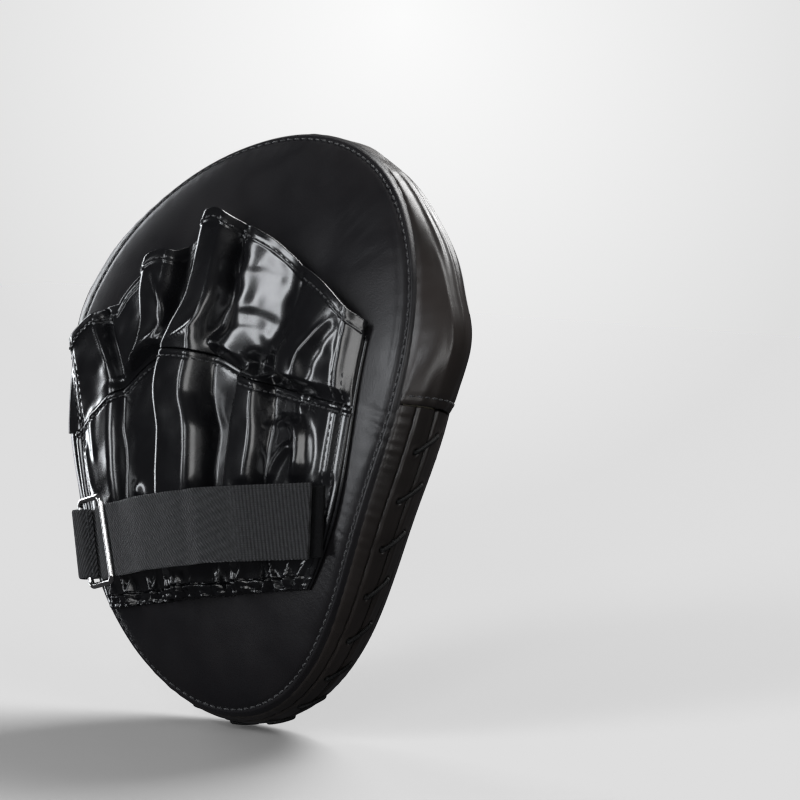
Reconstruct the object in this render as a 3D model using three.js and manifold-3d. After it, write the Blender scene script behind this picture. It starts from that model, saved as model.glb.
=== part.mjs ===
// A boxing focus mitt: a thick padded target worn on one hand and struck with the other.
// Units are millimetres. +Z runs up the mitt to its finger end, +Y out of the striking face and -Y out of
// the hand side. The origin is the centre of the striking face, on its surface.
//
// The pad is an egg-shaped stack of foam in a leather case. The case's wall is one piece round the finger
// end and a laced closure round the wrist end. A patent leather glove is sewn to the hand side, and a
// webbing strap runs from a metal ring across the back of the hand to a hook and loop patch.
//
// Every mesh is one closed body, and neighbours are kept a fraction of a millimetre apart.

import * as THREE from 'three';
import { mergeVertices } from 'three/addons/utils/BufferGeometryUtils.js';
import Module from 'manifold-3d';

const wasm = await Module();
wasm.setup();

// ---- Pad outline: distance from the centre to the hand-side seam, as a cosine series of the angle from +Z
const OUTLINE_MEAN = 108.7;
const OUTLINE_HEAVY_TOP = 3.6;
const OUTLINE_LONG = 17.3;
const OUTLINE_BROAD_TOP = -4.8;
const OUTLINE_FULL_CORNERS = 1.5;
const STRIKE_INSET = 4.2; // the striking face's seam lies this far inside the hand side's
const HALF_LENGTH = 127;

// ---- Pad thickness: where the two seams lie along Y, and how they sweep towards the ends
const STRIKE_SEAM_Y = -3;
const HAND_SEAM_Y = -49;
const TOP_SWEEP = 8; // the striking face's finger end curls forward by this much
const BOTTOM_SWEEP = 14; // and its wrist end by this much
const HAND_SWEEP = 28.6; // both ends of the hand side curl forward by this much
const HAND_LEAN = 1.9;
const FLAT_HALF = 24; // the striking face is flat this far above and below its centre
const FACE_CROWN = 3; // how far each face stands out of its own seam
const FACE_ROLL = 8; // a higher power keeps the crown flat for longer before it rolls off
const STRIKE_PUFF = 1.5; // extra fullness just inside the striking face's seam
const PUFF_START = 0.2;
const WALL_BULGE = 6.5; // the wall bellies out this much halfway between the seams
const CROWN_PUFF = 7; // and this much more where the crown is gathered into its lower seams
const CROWN_PUFF_ANGLE = 1.23;
const CROWN_PUFF_SPREAD = 0.14;

// ---- Sheet thicknesses and gaps
const SKIN = 1.2;
const WALL = 1.4;
const GAP = 0.5;
const FOAM_INSET = 5.9;
const EDGE_POWER = 6; // an inset fades out quickly away from the wall
const SEAM_MARGIN = SKIN + GAP; // wall and foam stay this far inside each seam plane

// ---- Layers of the stack, as fractions of the depth from the striking face to the hand side
const STRIKE_FOAM_END = 0.27;
const CORE_FOAM_START = 0.285;
const CORE_FOAM_END = 0.795;
const BACKING_START = 0.815;

// ---- Wall: a crown piece above, and below it two strips, two laced flaps and an underlay
const CROWN_END = THREE.MathUtils.degToRad(84);
const LACED_START = THREE.MathUtils.degToRad(84.3);
const STRIP_EDGE = 0.21;
const FLAP_EDGE = 0.216;
const SLIT_HALF = 0.012;
const FLAP_RAISE = 0.5;
const UNDERLAY_HALF = 0.2;
const UNDERLAY_TOP = 3.9;
const UNDERLAY_THICKNESS = 1;

// ---- Lacing
const CROSSINGS = 17;
const END_ROOM = 0.68; // space before the first crossing, as a share of the spacing
const CORD_RADIUS = 0.75;
const HOLE_RADIUS = 1.9;
const HOLE_OFFSET = 0.15; // each row of holes lies this fraction of the depth from the slit
const CROSSING_SLANT = 4; // half the distance a crossing advances along the wall
const CORD_GAP = 0.45;

// ---- Glove outline on the hand side
const LEFT_SEAM_X = -83.5;
const LEFT_SEAM_SLOPE = -0.3;
const RIGHT_SEAM_X = 77;
const RIGHT_SEAM_CURVE = 2.4e-5;
const RIGHT_SEAM_TOP = 20;
const BASE_LIFT = 0.45;
const BASE_THICKNESS = 1;
const COVER_LIFT = 1.9; // underside of the covers where they are sewn down
const COVER_THICKNESS = 1.2;
const CREST = 23; // height the hand cover reaches over the pad
const CREST_Z = 5;
const CREST_FALL = 0.0012;
const ARCH_POWER = 1.3;
const MID_SEAM = [
  [-80, -17],
  [-50, 3],
  [-29, 19],
  [3, 22],
  [30, 13],
  [78, 5.5],
];
const MID_SEAM_GAP = 0.5;

// ---- Finger stalls from the little finger to the thumb: dividers at the top hem, x then z
const DIVIDERS = [
  [-88.5, 21.5],
  [-56, 41],
  [-29.5, 66],
  [-1, 80.5],
  [41, 63],
  [76.5, 42],
];
const STALL_RISE = [4, 9, 12, 4, 3]; // how far each stall's hem bows up between its dividers
const STALL_HEIGHT = [10, 12, 13, 13, 12];

// ---- Strap, in its own tilted coordinates: s along it and q across it
const STRAP_TILT = THREE.MathUtils.degToRad(9.5);
const STRAP_ORIGIN_Z = -53.8;
const STRAP_HALF = 15.5;
const STRAP_LEAN = -0.19; // how Y changes across the strap, following the sweep of the pad
const WEBBING = 1.3;
const ROOT_START = -54;
const OPEN_HINGE_S = -37.5;
const PEEL_HINGE_S = 8;
const STRAP_TIP = 67.6;
const SECTION_GAP = 0.35;
const LAYER_GAP = 0.4; // between hook, loop and webbing
const ROOT_RAMP = [-44, -32]; // where the strap comes down off the keeper
const PATCH_RAMP = [10, 21]; // where it climbs onto the loop patch
const END_SHEAR = 0.15; // the free end is cut a little off square
const HEM_TOP_Q = -21.4;
const HEM_BOTTOM_Q = -26;
const HEM_THICKNESS = 2.6;
const LOOP_START = 22;
const LOOP_END = 71;
const LOOP_HALF = 14.5;
const LOOP_THICKNESS = 1.2;
const HOOK_START = 26;
const HOOK_END = 64;
const HOOK_HALF = 13.5;
const HOOK_THICKNESS = 1;

// ---- Ring and the webbing keeper folded round its outer bar
const WIRE_RADIUS = 1.2;
const RING_HALF = 18.6;
const RING_CORNER = 3;
const RING_TWIST = THREE.MathUtils.degToRad(5);
const OUTER_BAR_S = -61.5;
const INNER_BAR_S = -42.6;
const KEEPER_FOLD_S = -66.5;
const KEEPER_RETURN_S = -55.8;
const KEEPER_END_S = -46;
const PAST_BAR = 2.2; // the fold stays level this far past the bar
const KEEPER_HALF = 14.6;
const KEEPER_THICKNESS = 1.2;
const KEEPER_ROOM = 3.4; // inside height of the fold

// ---- Stitching: each row is a thread that stands this far off what it sews
const THREAD_RADIUS = 0.45;
const THREAD_GAP = 0.5;
const SEAM_THREAD_RHO = 0.975;
const SIDE_THREAD_INSET = 3;
const HEM_THREAD_INSET = 4;
const HEM_THREAD_GAP = 0.9; // more room, because the stalls curve sharply
const MID_THREAD_INSET = 3;

// ---- Materials

function leather() {
  return new THREE.MeshStandardMaterial({ color: 0x141316, roughness: 0.45, metalness: 0 });
}

function glossLeather() {
  return new THREE.MeshStandardMaterial({ color: 0x0c0c0e, roughness: 0.16, metalness: 0 });
}

function wallLeather() {
  return new THREE.MeshStandardMaterial({ color: 0x1c1a1b, roughness: 0.38, metalness: 0 });
}

function webbing() {
  return new THREE.MeshStandardMaterial({ color: 0x1d1d1f, roughness: 0.8, metalness: 0 });
}

function hookAndLoop() {
  return new THREE.MeshStandardMaterial({ color: 0x111112, roughness: 0.95, metalness: 0 });
}

function cord() {
  return new THREE.MeshStandardMaterial({ color: 0x0b0b0b, roughness: 0.6, metalness: 0 });
}

function thread() {
  return new THREE.MeshStandardMaterial({ color: 0x2a2a2d, roughness: 0.6, metalness: 0 });
}

function chrome() {
  return new THREE.MeshStandardMaterial({ color: 0xd8d6d4, roughness: 0.12, metalness: 1 });
}

function foam(color) {
  return new THREE.MeshStandardMaterial({ color, roughness: 0.9, metalness: 0 });
}

// ---- Pad surfaces

function reach(angle) {
  return (
    OUTLINE_MEAN +
    OUTLINE_HEAVY_TOP * Math.cos(angle) +
    OUTLINE_LONG * Math.cos(2 * angle) +
    OUTLINE_BROAD_TOP * Math.cos(3 * angle) +
    OUTLINE_FULL_CORNERS * Math.cos(4 * angle)
  );
}

function strikeSeamY(z) {
  const past = Math.max(0, Math.abs(z) - FLAT_HALF) / (HALF_LENGTH - FLAT_HALF);
  return STRIKE_SEAM_Y + (z > 0 ? TOP_SWEEP : BOTTOM_SWEEP) * past * past;
}

function handSeamY(z) {
  const share = z / HALF_LENGTH;
  return HAND_SEAM_Y + HAND_SWEEP * share * share + HAND_LEAN * share;
}

function handCrown(rho) {
  return FACE_CROWN * (1 - Math.min(rho, 1) ** FACE_ROLL);
}

function strikeCrown(rho) {
  const past = Math.max(0, rho - PUFF_START) / (1 - PUFF_START);
  return FACE_CROWN * (1 - rho ** FACE_ROLL) + STRIKE_PUFF * Math.sin(Math.PI * past * past) ** 2;
}

function padRadius(angle, depth) {
  const z = reach(angle) * Math.cos(angle);
  const slimness = (handSeamY(z) - strikeSeamY(z)) / (HAND_SEAM_Y - STRIKE_SEAM_Y);
  const belly = WALL_BULGE * slimness * slimness * 4 * depth * (1 - depth);
  return reach(angle) - STRIKE_INSET * (1 - depth) + belly;
}

// A point inside the case: rho from the centre (0) to the wall (1), depth from the striking face's
// skin (0) to the hand side's skin (1), and inset measured inwards from the outside of the wall.
function padPoint(angle, rho, depth, inset) {
  const height = rho * reach(angle) * Math.cos(angle);
  const front = strikeSeamY(height) + strikeCrown(rho) - SEAM_MARGIN;
  const back = handSeamY(height) - handCrown(rho) + SEAM_MARGIN;
  const r = rho * padRadius(angle, depth) - inset * rho ** EDGE_POWER;
  return new THREE.Vector3(r * Math.sin(angle), front + (back - front) * depth, r * Math.cos(angle));
}

// Y of the hand side's outer surface.
function handSurfaceY(x, z) {
  const rho = Math.hypot(x, z) / reach(Math.atan2(x, z));
  return handSeamY(z) - handCrown(rho);
}

function onHandSide(x, z, lift) {
  return new THREE.Vector3(x, handSurfaceY(x, z) - lift, z);
}

// ---- Building blocks

function signedVolume(geometry) {
  const corners = [0, 1, 2].map(() => new THREE.Vector3());
  const { position } = geometry.attributes;
  const { index } = geometry;
  let sum = 0;
  for (let i = 0; i < index.count; i += 3) {
    corners.forEach((corner, k) => corner.fromBufferAttribute(position, index.getX(i + k)));
    sum += corners[0].dot(corners[1].cross(corners[2]));
  }
  return sum / 6;
}

// Welds a geometry's corners and turns its faces outwards.
function closedBody(geometry) {
  geometry.deleteAttribute('normal');
  geometry.deleteAttribute('uv');
  const body = mergeVertices(geometry, 1e-3);
  if (signedVolume(body) < 0) {
    body.index.array.reverse();
  }
  body.computeVertexNormals();
  return body;
}

// A box of nu by nv by one cells, each corner moved to place(u, v, w) with u, v and w from 0 to 1.
function bentBox(nu, nv, place) {
  const geometry = new THREE.BoxGeometry(1, 1, 1, nu, nv, 1);
  const { position } = geometry.attributes;
  for (let i = 0; i < position.count; i += 1) {
    const point = place(position.getX(i) + 0.5, position.getY(i) + 0.5, position.getZ(i) + 0.5);
    position.setXYZ(i, point.x, point.y, point.z);
  }
  return closedBody(geometry);
}

// Spins a profile of [a, b] pairs round the pad, each corner moved to place(angle, a, b).
function bentLathe(profile, segments, place) {
  const points = profile.map(([a, b]) => new THREE.Vector2(a, b));
  const geometry = new THREE.LatheGeometry(points, segments);
  const { position } = geometry.attributes;
  for (let i = 0; i < position.count; i += 1) {
    const x = position.getX(i);
    const z = position.getZ(i);
    const point = place(Math.atan2(x, z), Math.hypot(x, z), position.getY(i));
    position.setXYZ(i, point.x, point.y, point.z);
  }
  return closedBody(geometry);
}

function closedTube(points, radius, steps, sides) {
  const curve = new THREE.CatmullRomCurve3(points, true);
  return closedBody(new THREE.TubeGeometry(curve, steps, radius, sides, true));
}

function cappedTube(points, radius, steps, sides) {
  const shape = new THREE.Shape();
  for (let i = 0; i < sides; i += 1) {
    const angle = (2 * Math.PI * i) / sides;
    const x = radius * Math.cos(angle);
    const y = radius * Math.sin(angle);
    if (i === 0) {
      shape.moveTo(x, y);
    } else {
      shape.lineTo(x, y);
    }
  }
  const extrudePath = new THREE.CatmullRomCurve3(points, false, 'centripetal');
  return closedBody(new THREE.ExtrudeGeometry(shape, { steps, extrudePath }));
}

function toManifold(geometry) {
  return new wasm.Manifold(
    new wasm.Mesh({
      numProp: 3,
      vertProperties: new Float32Array(geometry.attributes.position.array),
      triVerts: new Uint32Array(geometry.index.array),
    }),
  );
}

function fromManifold(manifold) {
  const mesh = manifold.getMesh();
  const geometry = new THREE.BufferGeometry();
  geometry.setAttribute('position', new THREE.BufferAttribute(new Float32Array(mesh.vertProperties), 3));
  geometry.setIndex(new THREE.BufferAttribute(new Uint32Array(mesh.triVerts), 1));
  geometry.computeVertexNormals();
  return geometry;
}

// ---- Case faces and foam

const FACE_RINGS = [0.18, 0.4, 0.62, 0.78, 0.88, 0.94, 0.98, 1];
const FACE_SEGMENTS = 40;
const FOAM_RINGS = [0.18, 0.4, 0.62, 0.78, 0.88, 0.94, 1];
const FOAM_SEGMENTS = 40;

function faceProfile() {
  const outer = FACE_RINGS.map((rho) => [rho, 0]);
  const inner = FACE_RINGS.map((rho) => [rho, -SKIN]).reverse();
  return [[0, 0], ...outer, ...inner, [0, -SKIN]];
}

function strikePanel() {
  return bentLathe(faceProfile(), FACE_SEGMENTS, (angle, rho, level) => {
    const r = rho * padRadius(angle, 0);
    const z = rho * reach(angle) * Math.cos(angle);
    const y = strikeSeamY(z) + strikeCrown(rho) + level;
    return new THREE.Vector3(r * Math.sin(angle), y, r * Math.cos(angle));
  });
}

function backPanel() {
  return bentLathe(faceProfile(), FACE_SEGMENTS, (angle, rho, level) => {
    const r = rho * padRadius(angle, 1);
    const z = rho * reach(angle) * Math.cos(angle);
    const y = handSeamY(z) - handCrown(rho) - level;
    return new THREE.Vector3(r * Math.sin(angle), y, r * Math.cos(angle));
  });
}

function foamSlab(start, end) {
  const mid = (start + end) / 2;
  const front = FOAM_RINGS.map((rho) => [rho, start]);
  const back = FOAM_RINGS.map((rho) => [rho, end]).reverse();
  const profile = [[0, start], ...front, [1, mid], ...back, [0, end]];
  return bentLathe(profile, FOAM_SEGMENTS, (angle, rho, depth) => padPoint(angle, rho, depth, FOAM_INSET));
}

// ---- Wall

const LACED_SWEEP = 2 * Math.PI - 2 * LACED_START;
const LACED_SEGMENTS = 28;

// Extra fullness of the crown near each of its lower seams.
function crownPuff(angle, depth) {
  const away = (Math.abs(angle) - CROWN_PUFF_ANGLE) / CROWN_PUFF_SPREAD;
  return CROWN_PUFF * Math.exp(-away * away) * 4 * depth * (1 - depth);
}

function crownGusset() {
  return bentBox(34, 4, (u, v, w) => {
    const angle = (2 * u - 1) * CROWN_END;
    return padPoint(angle, 1, v, w * WALL - crownPuff(angle, v));
  });
}

// A strip of the laced part of the wall between two depths, its outside raised by raise.
function lacedStrip(from, to, raise, thickness, cells) {
  return bentBox(LACED_SEGMENTS, cells, (u, v, w) => {
    const angle = LACED_START + u * LACED_SWEEP;
    return padPoint(angle, 1, from + v * (to - from), w * thickness - raise);
  });
}

// The sheet behind the slit, between the cord and the foam.
function laceUnderlay() {
  return lacedStrip(0.5 - UNDERLAY_HALF, 0.5 + UNDERLAY_HALF, -UNDERLAY_TOP, UNDERLAY_THICKNESS, 2);
}

// Angles at which the cord crosses the slit, spaced evenly along the wall.
function crossingAngles() {
  const samples = 400;
  const lengths = [0];
  let last = padPoint(LACED_START, 1, 0.5, 0);
  for (let i = 1; i <= samples; i += 1) {
    const next = padPoint(LACED_START + (i / samples) * LACED_SWEEP, 1, 0.5, 0);
    lengths.push(lengths[i - 1] + next.distanceTo(last));
    last = next;
  }
  const spacing = lengths[samples] / (CROSSINGS - 1 + 2 * END_ROOM);
  const angles = [];
  for (let i = 0; i < CROSSINGS; i += 1) {
    const sample = lengths.findIndex((length) => length >= (i + END_ROOM) * spacing);
    angles.push(LACED_START + (sample / samples) * LACED_SWEEP);
  }
  return angles;
}

function slantAngle(angle) {
  return CROSSING_SLANT / reach(angle);
}

// A flap with one round hole for each crossing; side is -1 towards the striking face, +1 towards the hand.
function lacedFlap(side) {
  const nearSlit = 0.5 + side * SLIT_HALF;
  const nearStrip = side < 0 ? FLAP_EDGE : 1 - FLAP_EDGE;
  let flap = toManifold(lacedStrip(nearSlit, nearStrip, FLAP_RAISE, WALL, 2));
  for (const angle of crossingAngles()) {
    const at = angle + side * slantAngle(angle);
    const depth = 0.5 + side * HOLE_OFFSET;
    const outside = padPoint(at, 1, depth, -3);
    const inside = padPoint(at, 1, depth, 3);
    const drill = new THREE.CylinderGeometry(HOLE_RADIUS, HOLE_RADIUS, 6, 6);
    const along = outside.clone().sub(inside).normalize();
    drill.applyQuaternion(new THREE.Quaternion().setFromUnitVectors(new THREE.Vector3(0, 1, 0), along));
    const centre = outside.add(inside).multiplyScalar(0.5);
    drill.translate(centre.x, centre.y, centre.z);
    flap = flap.subtract(toManifold(closedBody(drill)));
  }
  return fromManifold(flap);
}

// The cord comes up through a striking-side hole, crosses the slit, goes down a hand-side hole and runs
// under the flaps to the next crossing.
function laceCord() {
  const above = -(FLAP_RAISE + CORD_GAP + CORD_RADIUS);
  const below = WALL - FLAP_RAISE + CORD_GAP + CORD_RADIUS;
  const points = [];
  for (const angle of crossingAngles()) {
    const slant = slantAngle(angle);
    points.push(padPoint(angle - slant, 1, 0.5 - HOLE_OFFSET, below));
    points.push(padPoint(angle - slant, 1, 0.5 - HOLE_OFFSET, above));
    points.push(padPoint(angle, 1, 0.5, above));
    points.push(padPoint(angle + slant, 1, 0.5 + HOLE_OFFSET, above));
    points.push(padPoint(angle + slant, 1, 0.5 + HOLE_OFFSET, below));
    points.push(padPoint(angle + 2 * slant, 1, 0.5, below));
  }
  points.pop();
  return cappedTube(points, CORD_RADIUS, CROSSINGS * 10, 5);
}

// A line of topstitching just inside a face's seam.
function seamThread(side) {
  const rho = SEAM_THREAD_RHO;
  const points = [];
  const count = 36;
  for (let i = 0; i < count; i += 1) {
    const angle = (2 * Math.PI * i) / count;
    const depth = side < 0 ? 0 : 1;
    const r = rho * padRadius(angle, depth);
    const z = rho * reach(angle) * Math.cos(angle);
    const lift = THREAD_RADIUS + THREAD_GAP;
    const y = side < 0 ? strikeSeamY(z) + strikeCrown(rho) + lift : handSeamY(z) - handCrown(rho) - lift;
    points.push(new THREE.Vector3(r * Math.sin(angle), y, r * Math.cos(angle)));
  }
  return closedTube(points, THREAD_RADIUS, 44, 4);
}

// The row of stitches that closes one end of the crown gusset; side is -1 on the left, +1 on the right.
function gussetThread(side) {
  const points = [];
  const angle = side * (CROWN_END - 0.03);
  for (let i = 0; i <= 8; i += 1) {
    const depth = 0.06 + (i / 8) * 0.88;
    points.push(padPoint(angle, 1, depth, -(THREAD_RADIUS + THREAD_GAP) - crownPuff(angle, depth)));
  }
  return cappedTube(points, THREAD_RADIUS, 14, 4);
}

// ---- Glove

function leftSeamX(z) {
  return LEFT_SEAM_X + LEFT_SEAM_SLOPE * z;
}

function rightSeamX(z) {
  const below = Math.max(0, RIGHT_SEAM_TOP - z);
  return RIGHT_SEAM_X - RIGHT_SEAM_CURVE * below ** 3;
}

function crestAt(z) {
  return CREST - CREST_FALL * (z - CREST_Z) * (z - CREST_Z);
}

// Height of the hand cover's underside over the pad.
function coverLift(x, z) {
  const left = leftSeamX(z);
  const share = THREE.MathUtils.clamp((x - left) / (rightSeamX(z) - left), 0, 1);
  return COVER_LIFT + crestAt(z) * Math.sin(Math.PI * share) ** ARCH_POWER;
}

// Height on a smooth curve through [x, z] points.
function curveZ(points, x) {
  const curve = new THREE.SplineCurve(points.map(([px, pz]) => new THREE.Vector2(px, pz)));
  let low = 0;
  let high = 1;
  for (let i = 0; i < 24; i += 1) {
    const mid = (low + high) / 2;
    if (curve.getPoint(mid).x < x) {
      low = mid;
    } else {
      high = mid;
    }
  }
  return curve.getPoint(low).y;
}

// Strap coordinates to x and z.
function strapX(s, q) {
  return s * Math.cos(STRAP_TILT) - q * Math.sin(STRAP_TILT);
}

function strapZ(s, q) {
  return STRAP_ORIGIN_Z + s * Math.sin(STRAP_TILT) + q * Math.cos(STRAP_TILT);
}

// z on the line that lies q across the strap, at a given x.
function strapLineZ(x, q) {
  return STRAP_ORIGIN_Z + x * Math.tan(STRAP_TILT) + q / Math.cos(STRAP_TILT);
}

// A column of the glove from the lower edge to the mid seam: the seams slope, so x is found at each z.
function gloveX(u, z, overhang) {
  const left = leftSeamX(z) - overhang;
  return left + u * (rightSeamX(z) + overhang - left);
}

function handCover() {
  return bentBox(22, 8, (u, v, w) => {
    let z = -20;
    for (let i = 0; i < 6; i += 1) {
      const x = gloveX(u, z, 0);
      const low = strapLineZ(x, HEM_TOP_Q + 0.4);
      z = low + v * (curveZ(MID_SEAM, x) - low);
    }
    const x = gloveX(u, z, 0);
    return onHandSide(x, z, coverLift(x, z) + w * COVER_THICKNESS);
  });
}

function elasticHem() {
  return bentBox(22, 1, (u, v, w) => {
    let z = -75;
    for (let i = 0; i < 6; i += 1) {
      z = strapLineZ(gloveX(u, z, 0), HEM_BOTTOM_Q + v * (HEM_TOP_Q - HEM_BOTTOM_Q));
    }
    const x = gloveX(u, z, 0);
    return onHandSide(x, z, coverLift(x, z) + w * HEM_THICKNESS);
  });
}

// The stall that u falls in, and the share of the way across it.
function stallAt(u) {
  const count = STALL_RISE.length;
  const stall = Math.min(count - 1, Math.floor(u * count + 1e-6));
  return { stall, share: THREE.MathUtils.clamp(u * count - stall, 0, 1) };
}

// A column of the finger cover: its foot on the mid seam and its top on the hem.
function fingerColumn(u) {
  const { stall, share } = stallAt(u);
  const [leftX, leftZ] = DIVIDERS[stall];
  const [rightX, rightZ] = DIVIDERS[stall + 1];
  const topX = leftX + share * (rightX - leftX);
  const topZ = leftZ + share * (rightZ - leftZ) + STALL_RISE[stall] * Math.sin(Math.PI * share);
  const footX = gloveX(u, 0, 0);
  return { topX, topZ, footX, footZ: curveZ(MID_SEAM, footX) + MID_SEAM_GAP };
}

function stallLift(u) {
  const { stall, share } = stallAt(u);
  return COVER_LIFT + STALL_HEIGHT[stall] * Math.sin(Math.PI * share) ** 0.8;
}

function fingerCover() {
  return bentBox(30, 6, (u, v, w) => {
    const { topX, topZ, footX, footZ } = fingerColumn(u);
    const x = footX + v * (topX - footX);
    const z = footZ + v * (topZ - footZ);
    const blend = THREE.MathUtils.smoothstep(v, 0, 1);
    const lift = coverLift(x, z) * (1 - blend) + stallLift(u) * blend;
    return onHandSide(x, z, lift + w * COVER_THICKNESS);
  });
}

function gloveBase() {
  return bentBox(20, 9, (u, v, w) => {
    const { topX, topZ } = fingerColumn(u);
    const footX = gloveX(u, -75, 0.5);
    const footZ = strapLineZ(footX, HEM_BOTTOM_Q);
    const z = footZ + v * (topZ - 7 - footZ);
    const x = gloveX(u, Math.min(z, 22), 0.5) * (1 - v * v) + (topX + 0.5 * (2 * u - 1)) * v * v;
    return onHandSide(x, z, BASE_LIFT + w * BASE_THICKNESS);
  });
}

// The row of stitches down one side of the glove, from the mid seam to just above the strap.
function sideThread(side) {
  const points = [];
  const sideX = (z) => (side < 0 ? leftSeamX(z) + SIDE_THREAD_INSET : rightSeamX(z) - SIDE_THREAD_INSET);
  const top = curveZ(MID_SEAM, sideX(0)) - 4;
  const bottom = strapLineZ(sideX(-30), STRAP_HALF + 3);
  for (let i = 0; i <= 6; i += 1) {
    const z = top + (i / 6) * (bottom - top);
    const x = sideX(z);
    points.push(onHandSide(x, z, coverLift(x, z) + COVER_THICKNESS + THREAD_RADIUS + THREAD_GAP));
  }
  return cappedTube(points, THREAD_RADIUS, 12, 4);
}

// The row of stitches that follows the folded top hem over one stall.
function hemThread(stall) {
  const points = [];
  for (let i = 0; i <= 6; i += 1) {
    const u = (stall + 0.14 + (i / 6) * 0.72) / STALL_RISE.length;
    const { topX, topZ, footX, footZ } = fingerColumn(u);
    const v = 1 - HEM_THREAD_INSET / (topZ - footZ);
    const x = footX + v * (topX - footX);
    const z = footZ + v * (topZ - footZ);
    const blend = THREE.MathUtils.smoothstep(v, 0, 1);
    const lift = coverLift(x, z) * (1 - blend) + stallLift(u) * blend;
    points.push(onHandSide(x, z, lift + COVER_THICKNESS + THREAD_RADIUS + HEM_THREAD_GAP));
  }
  return cappedTube(points, THREAD_RADIUS, 10, 4);
}

// The row of stitches just below the folded mid seam.
function midSeamThread() {
  const points = [];
  for (let i = 0; i <= 12; i += 1) {
    const x = -72 + (i / 12) * 142;
    const z = curveZ(MID_SEAM, x) - MID_THREAD_INSET;
    points.push(onHandSide(x, z, coverLift(x, z) + COVER_THICKNESS + THREAD_RADIUS + THREAD_GAP));
  }
  return cappedTube(points, THREAD_RADIUS, 24, 4);
}

// ---- Strap, ring and keeper

// Y at s on the strap's centre line of a flat-lying band that clears the cover by lift at every q.
function bandY(s, lift) {
  let y = Infinity;
  for (let i = 0; i <= 8; i += 1) {
    const q = STRAP_HALF * (i / 4 - 1);
    const x = strapX(s, q);
    const z = strapZ(s, q);
    const cover = handSurfaceY(x, z) - coverLift(x, z) - COVER_THICKNESS;
    y = Math.min(y, cover - STRAP_LEAN * q);
  }
  return y - lift;
}

function bandPoint(s, q, lift) {
  return new THREE.Vector3(strapX(s, q), bandY(s, lift) + STRAP_LEAN * q, strapZ(s, q));
}

// A flat-lying band whose far end is cut off square by shear.
function band(from, to, half, cells, liftAt, thickness, shear) {
  return bentBox(cells, 2, (u, v, w) => {
    const q = (2 * v - 1) * half;
    const s = from + u * (to + shear * q - from);
    return bandPoint(s, q, liftAt(s) + w * thickness);
  });
}

// The strap rides over the keeper at its sewn end and over the loop patch at its free end.
function strapLift(s) {
  const overKeeper = GAP + KEEPER_THICKNESS + LAYER_GAP;
  const overPatch = GAP + LOOP_THICKNESS + LAYER_GAP + HOOK_THICKNESS + LAYER_GAP;
  const left = 1 - THREE.MathUtils.smoothstep(s, ROOT_RAMP[0], ROOT_RAMP[1]);
  const right = THREE.MathUtils.smoothstep(s, PATCH_RAMP[0], PATCH_RAMP[1]);
  return GAP + left * (overKeeper - GAP) + right * (overPatch - GAP);
}

function strapSection(from, to, cells, shear) {
  return band(from, to, STRAP_HALF, cells, strapLift, WEBBING, shear);
}

function loopPatch() {
  return band(LOOP_START, LOOP_END, LOOP_HALF, 8, () => GAP, LOOP_THICKNESS, END_SHEAR);
}

function hookPatch() {
  const lift = GAP + LOOP_THICKNESS + LAYER_GAP;
  return band(HOOK_START, HOOK_END, HOOK_HALF, 8, () => lift, HOOK_THICKNESS, 0);
}

// Lift of the middle of the fold, where the ring's outer bar lies.
function foldMiddle() {
  return GAP + KEEPER_THICKNESS + KEEPER_ROOM / 2;
}

// Path of the keeper's outer face as [s, lift]: in along the bottom, round the fold and back on top.
function keeperPath() {
  const bottom = GAP;
  const middle = foldMiddle();
  const radius = KEEPER_ROOM / 2 + KEEPER_THICKNESS;
  const path = [
    [KEEPER_END_S, bottom],
    [(KEEPER_END_S + ROOT_START) / 2, bottom],
    [ROOT_START, bottom],
    [KEEPER_FOLD_S + radius, bottom],
  ];
  for (let i = 1; i <= 5; i += 1) {
    const turn = (Math.PI * i) / 6;
    path.push([KEEPER_FOLD_S + radius - radius * Math.sin(turn), middle - radius * Math.cos(turn)]);
  }
  path.push([KEEPER_FOLD_S + radius, middle + radius]);
  path.push([OUTER_BAR_S + PAST_BAR, middle + radius]);
  path.push([KEEPER_RETURN_S, bottom + 2 * KEEPER_THICKNESS + LAYER_GAP]);
  return path;
}

function ringKeeper() {
  const path = keeperPath().map(([s, lift]) => new THREE.Vector2(s, lift));
  const cells = path.length - 1;
  return bentBox(cells, 1, (u, v, w) => {
    const i = Math.round(u * cells);
    const before = path[Math.max(0, i - 1)];
    const after = path[Math.min(cells, i + 1)];
    const along = after.clone().sub(before).normalize();
    const at = path[i].clone().add(new THREE.Vector2(along.y, -along.x).multiplyScalar(w * KEEPER_THICKNESS));
    return keeperPoint(at.x, (2 * v - 1) * KEEPER_HALF, at.y);
  });
}

// The keeper is stiff, so outside the cover's flank it keeps one level instead of following the pad down.
function keeperPoint(s, q, lift) {
  const y = bandY(Math.max(s, ROOT_START), 0);
  return new THREE.Vector3(strapX(s, q), y - lift + STRAP_LEAN * q, strapZ(s, q));
}

// The row of stitches that holds the keeper's returning end down.
function keeperThread() {
  const [start, end] = keeperPath().slice(-2);
  const s = end[0] - 1;
  const face = end[1] + ((start[1] - end[1]) * (s - end[0])) / (start[0] - end[0]);
  const points = [-12, -4, 4, 12].map((q) => keeperPoint(s, q, face + THREAD_RADIUS + 0.7));
  return cappedTube(points, THREAD_RADIUS, 6, 4);
}

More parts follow.
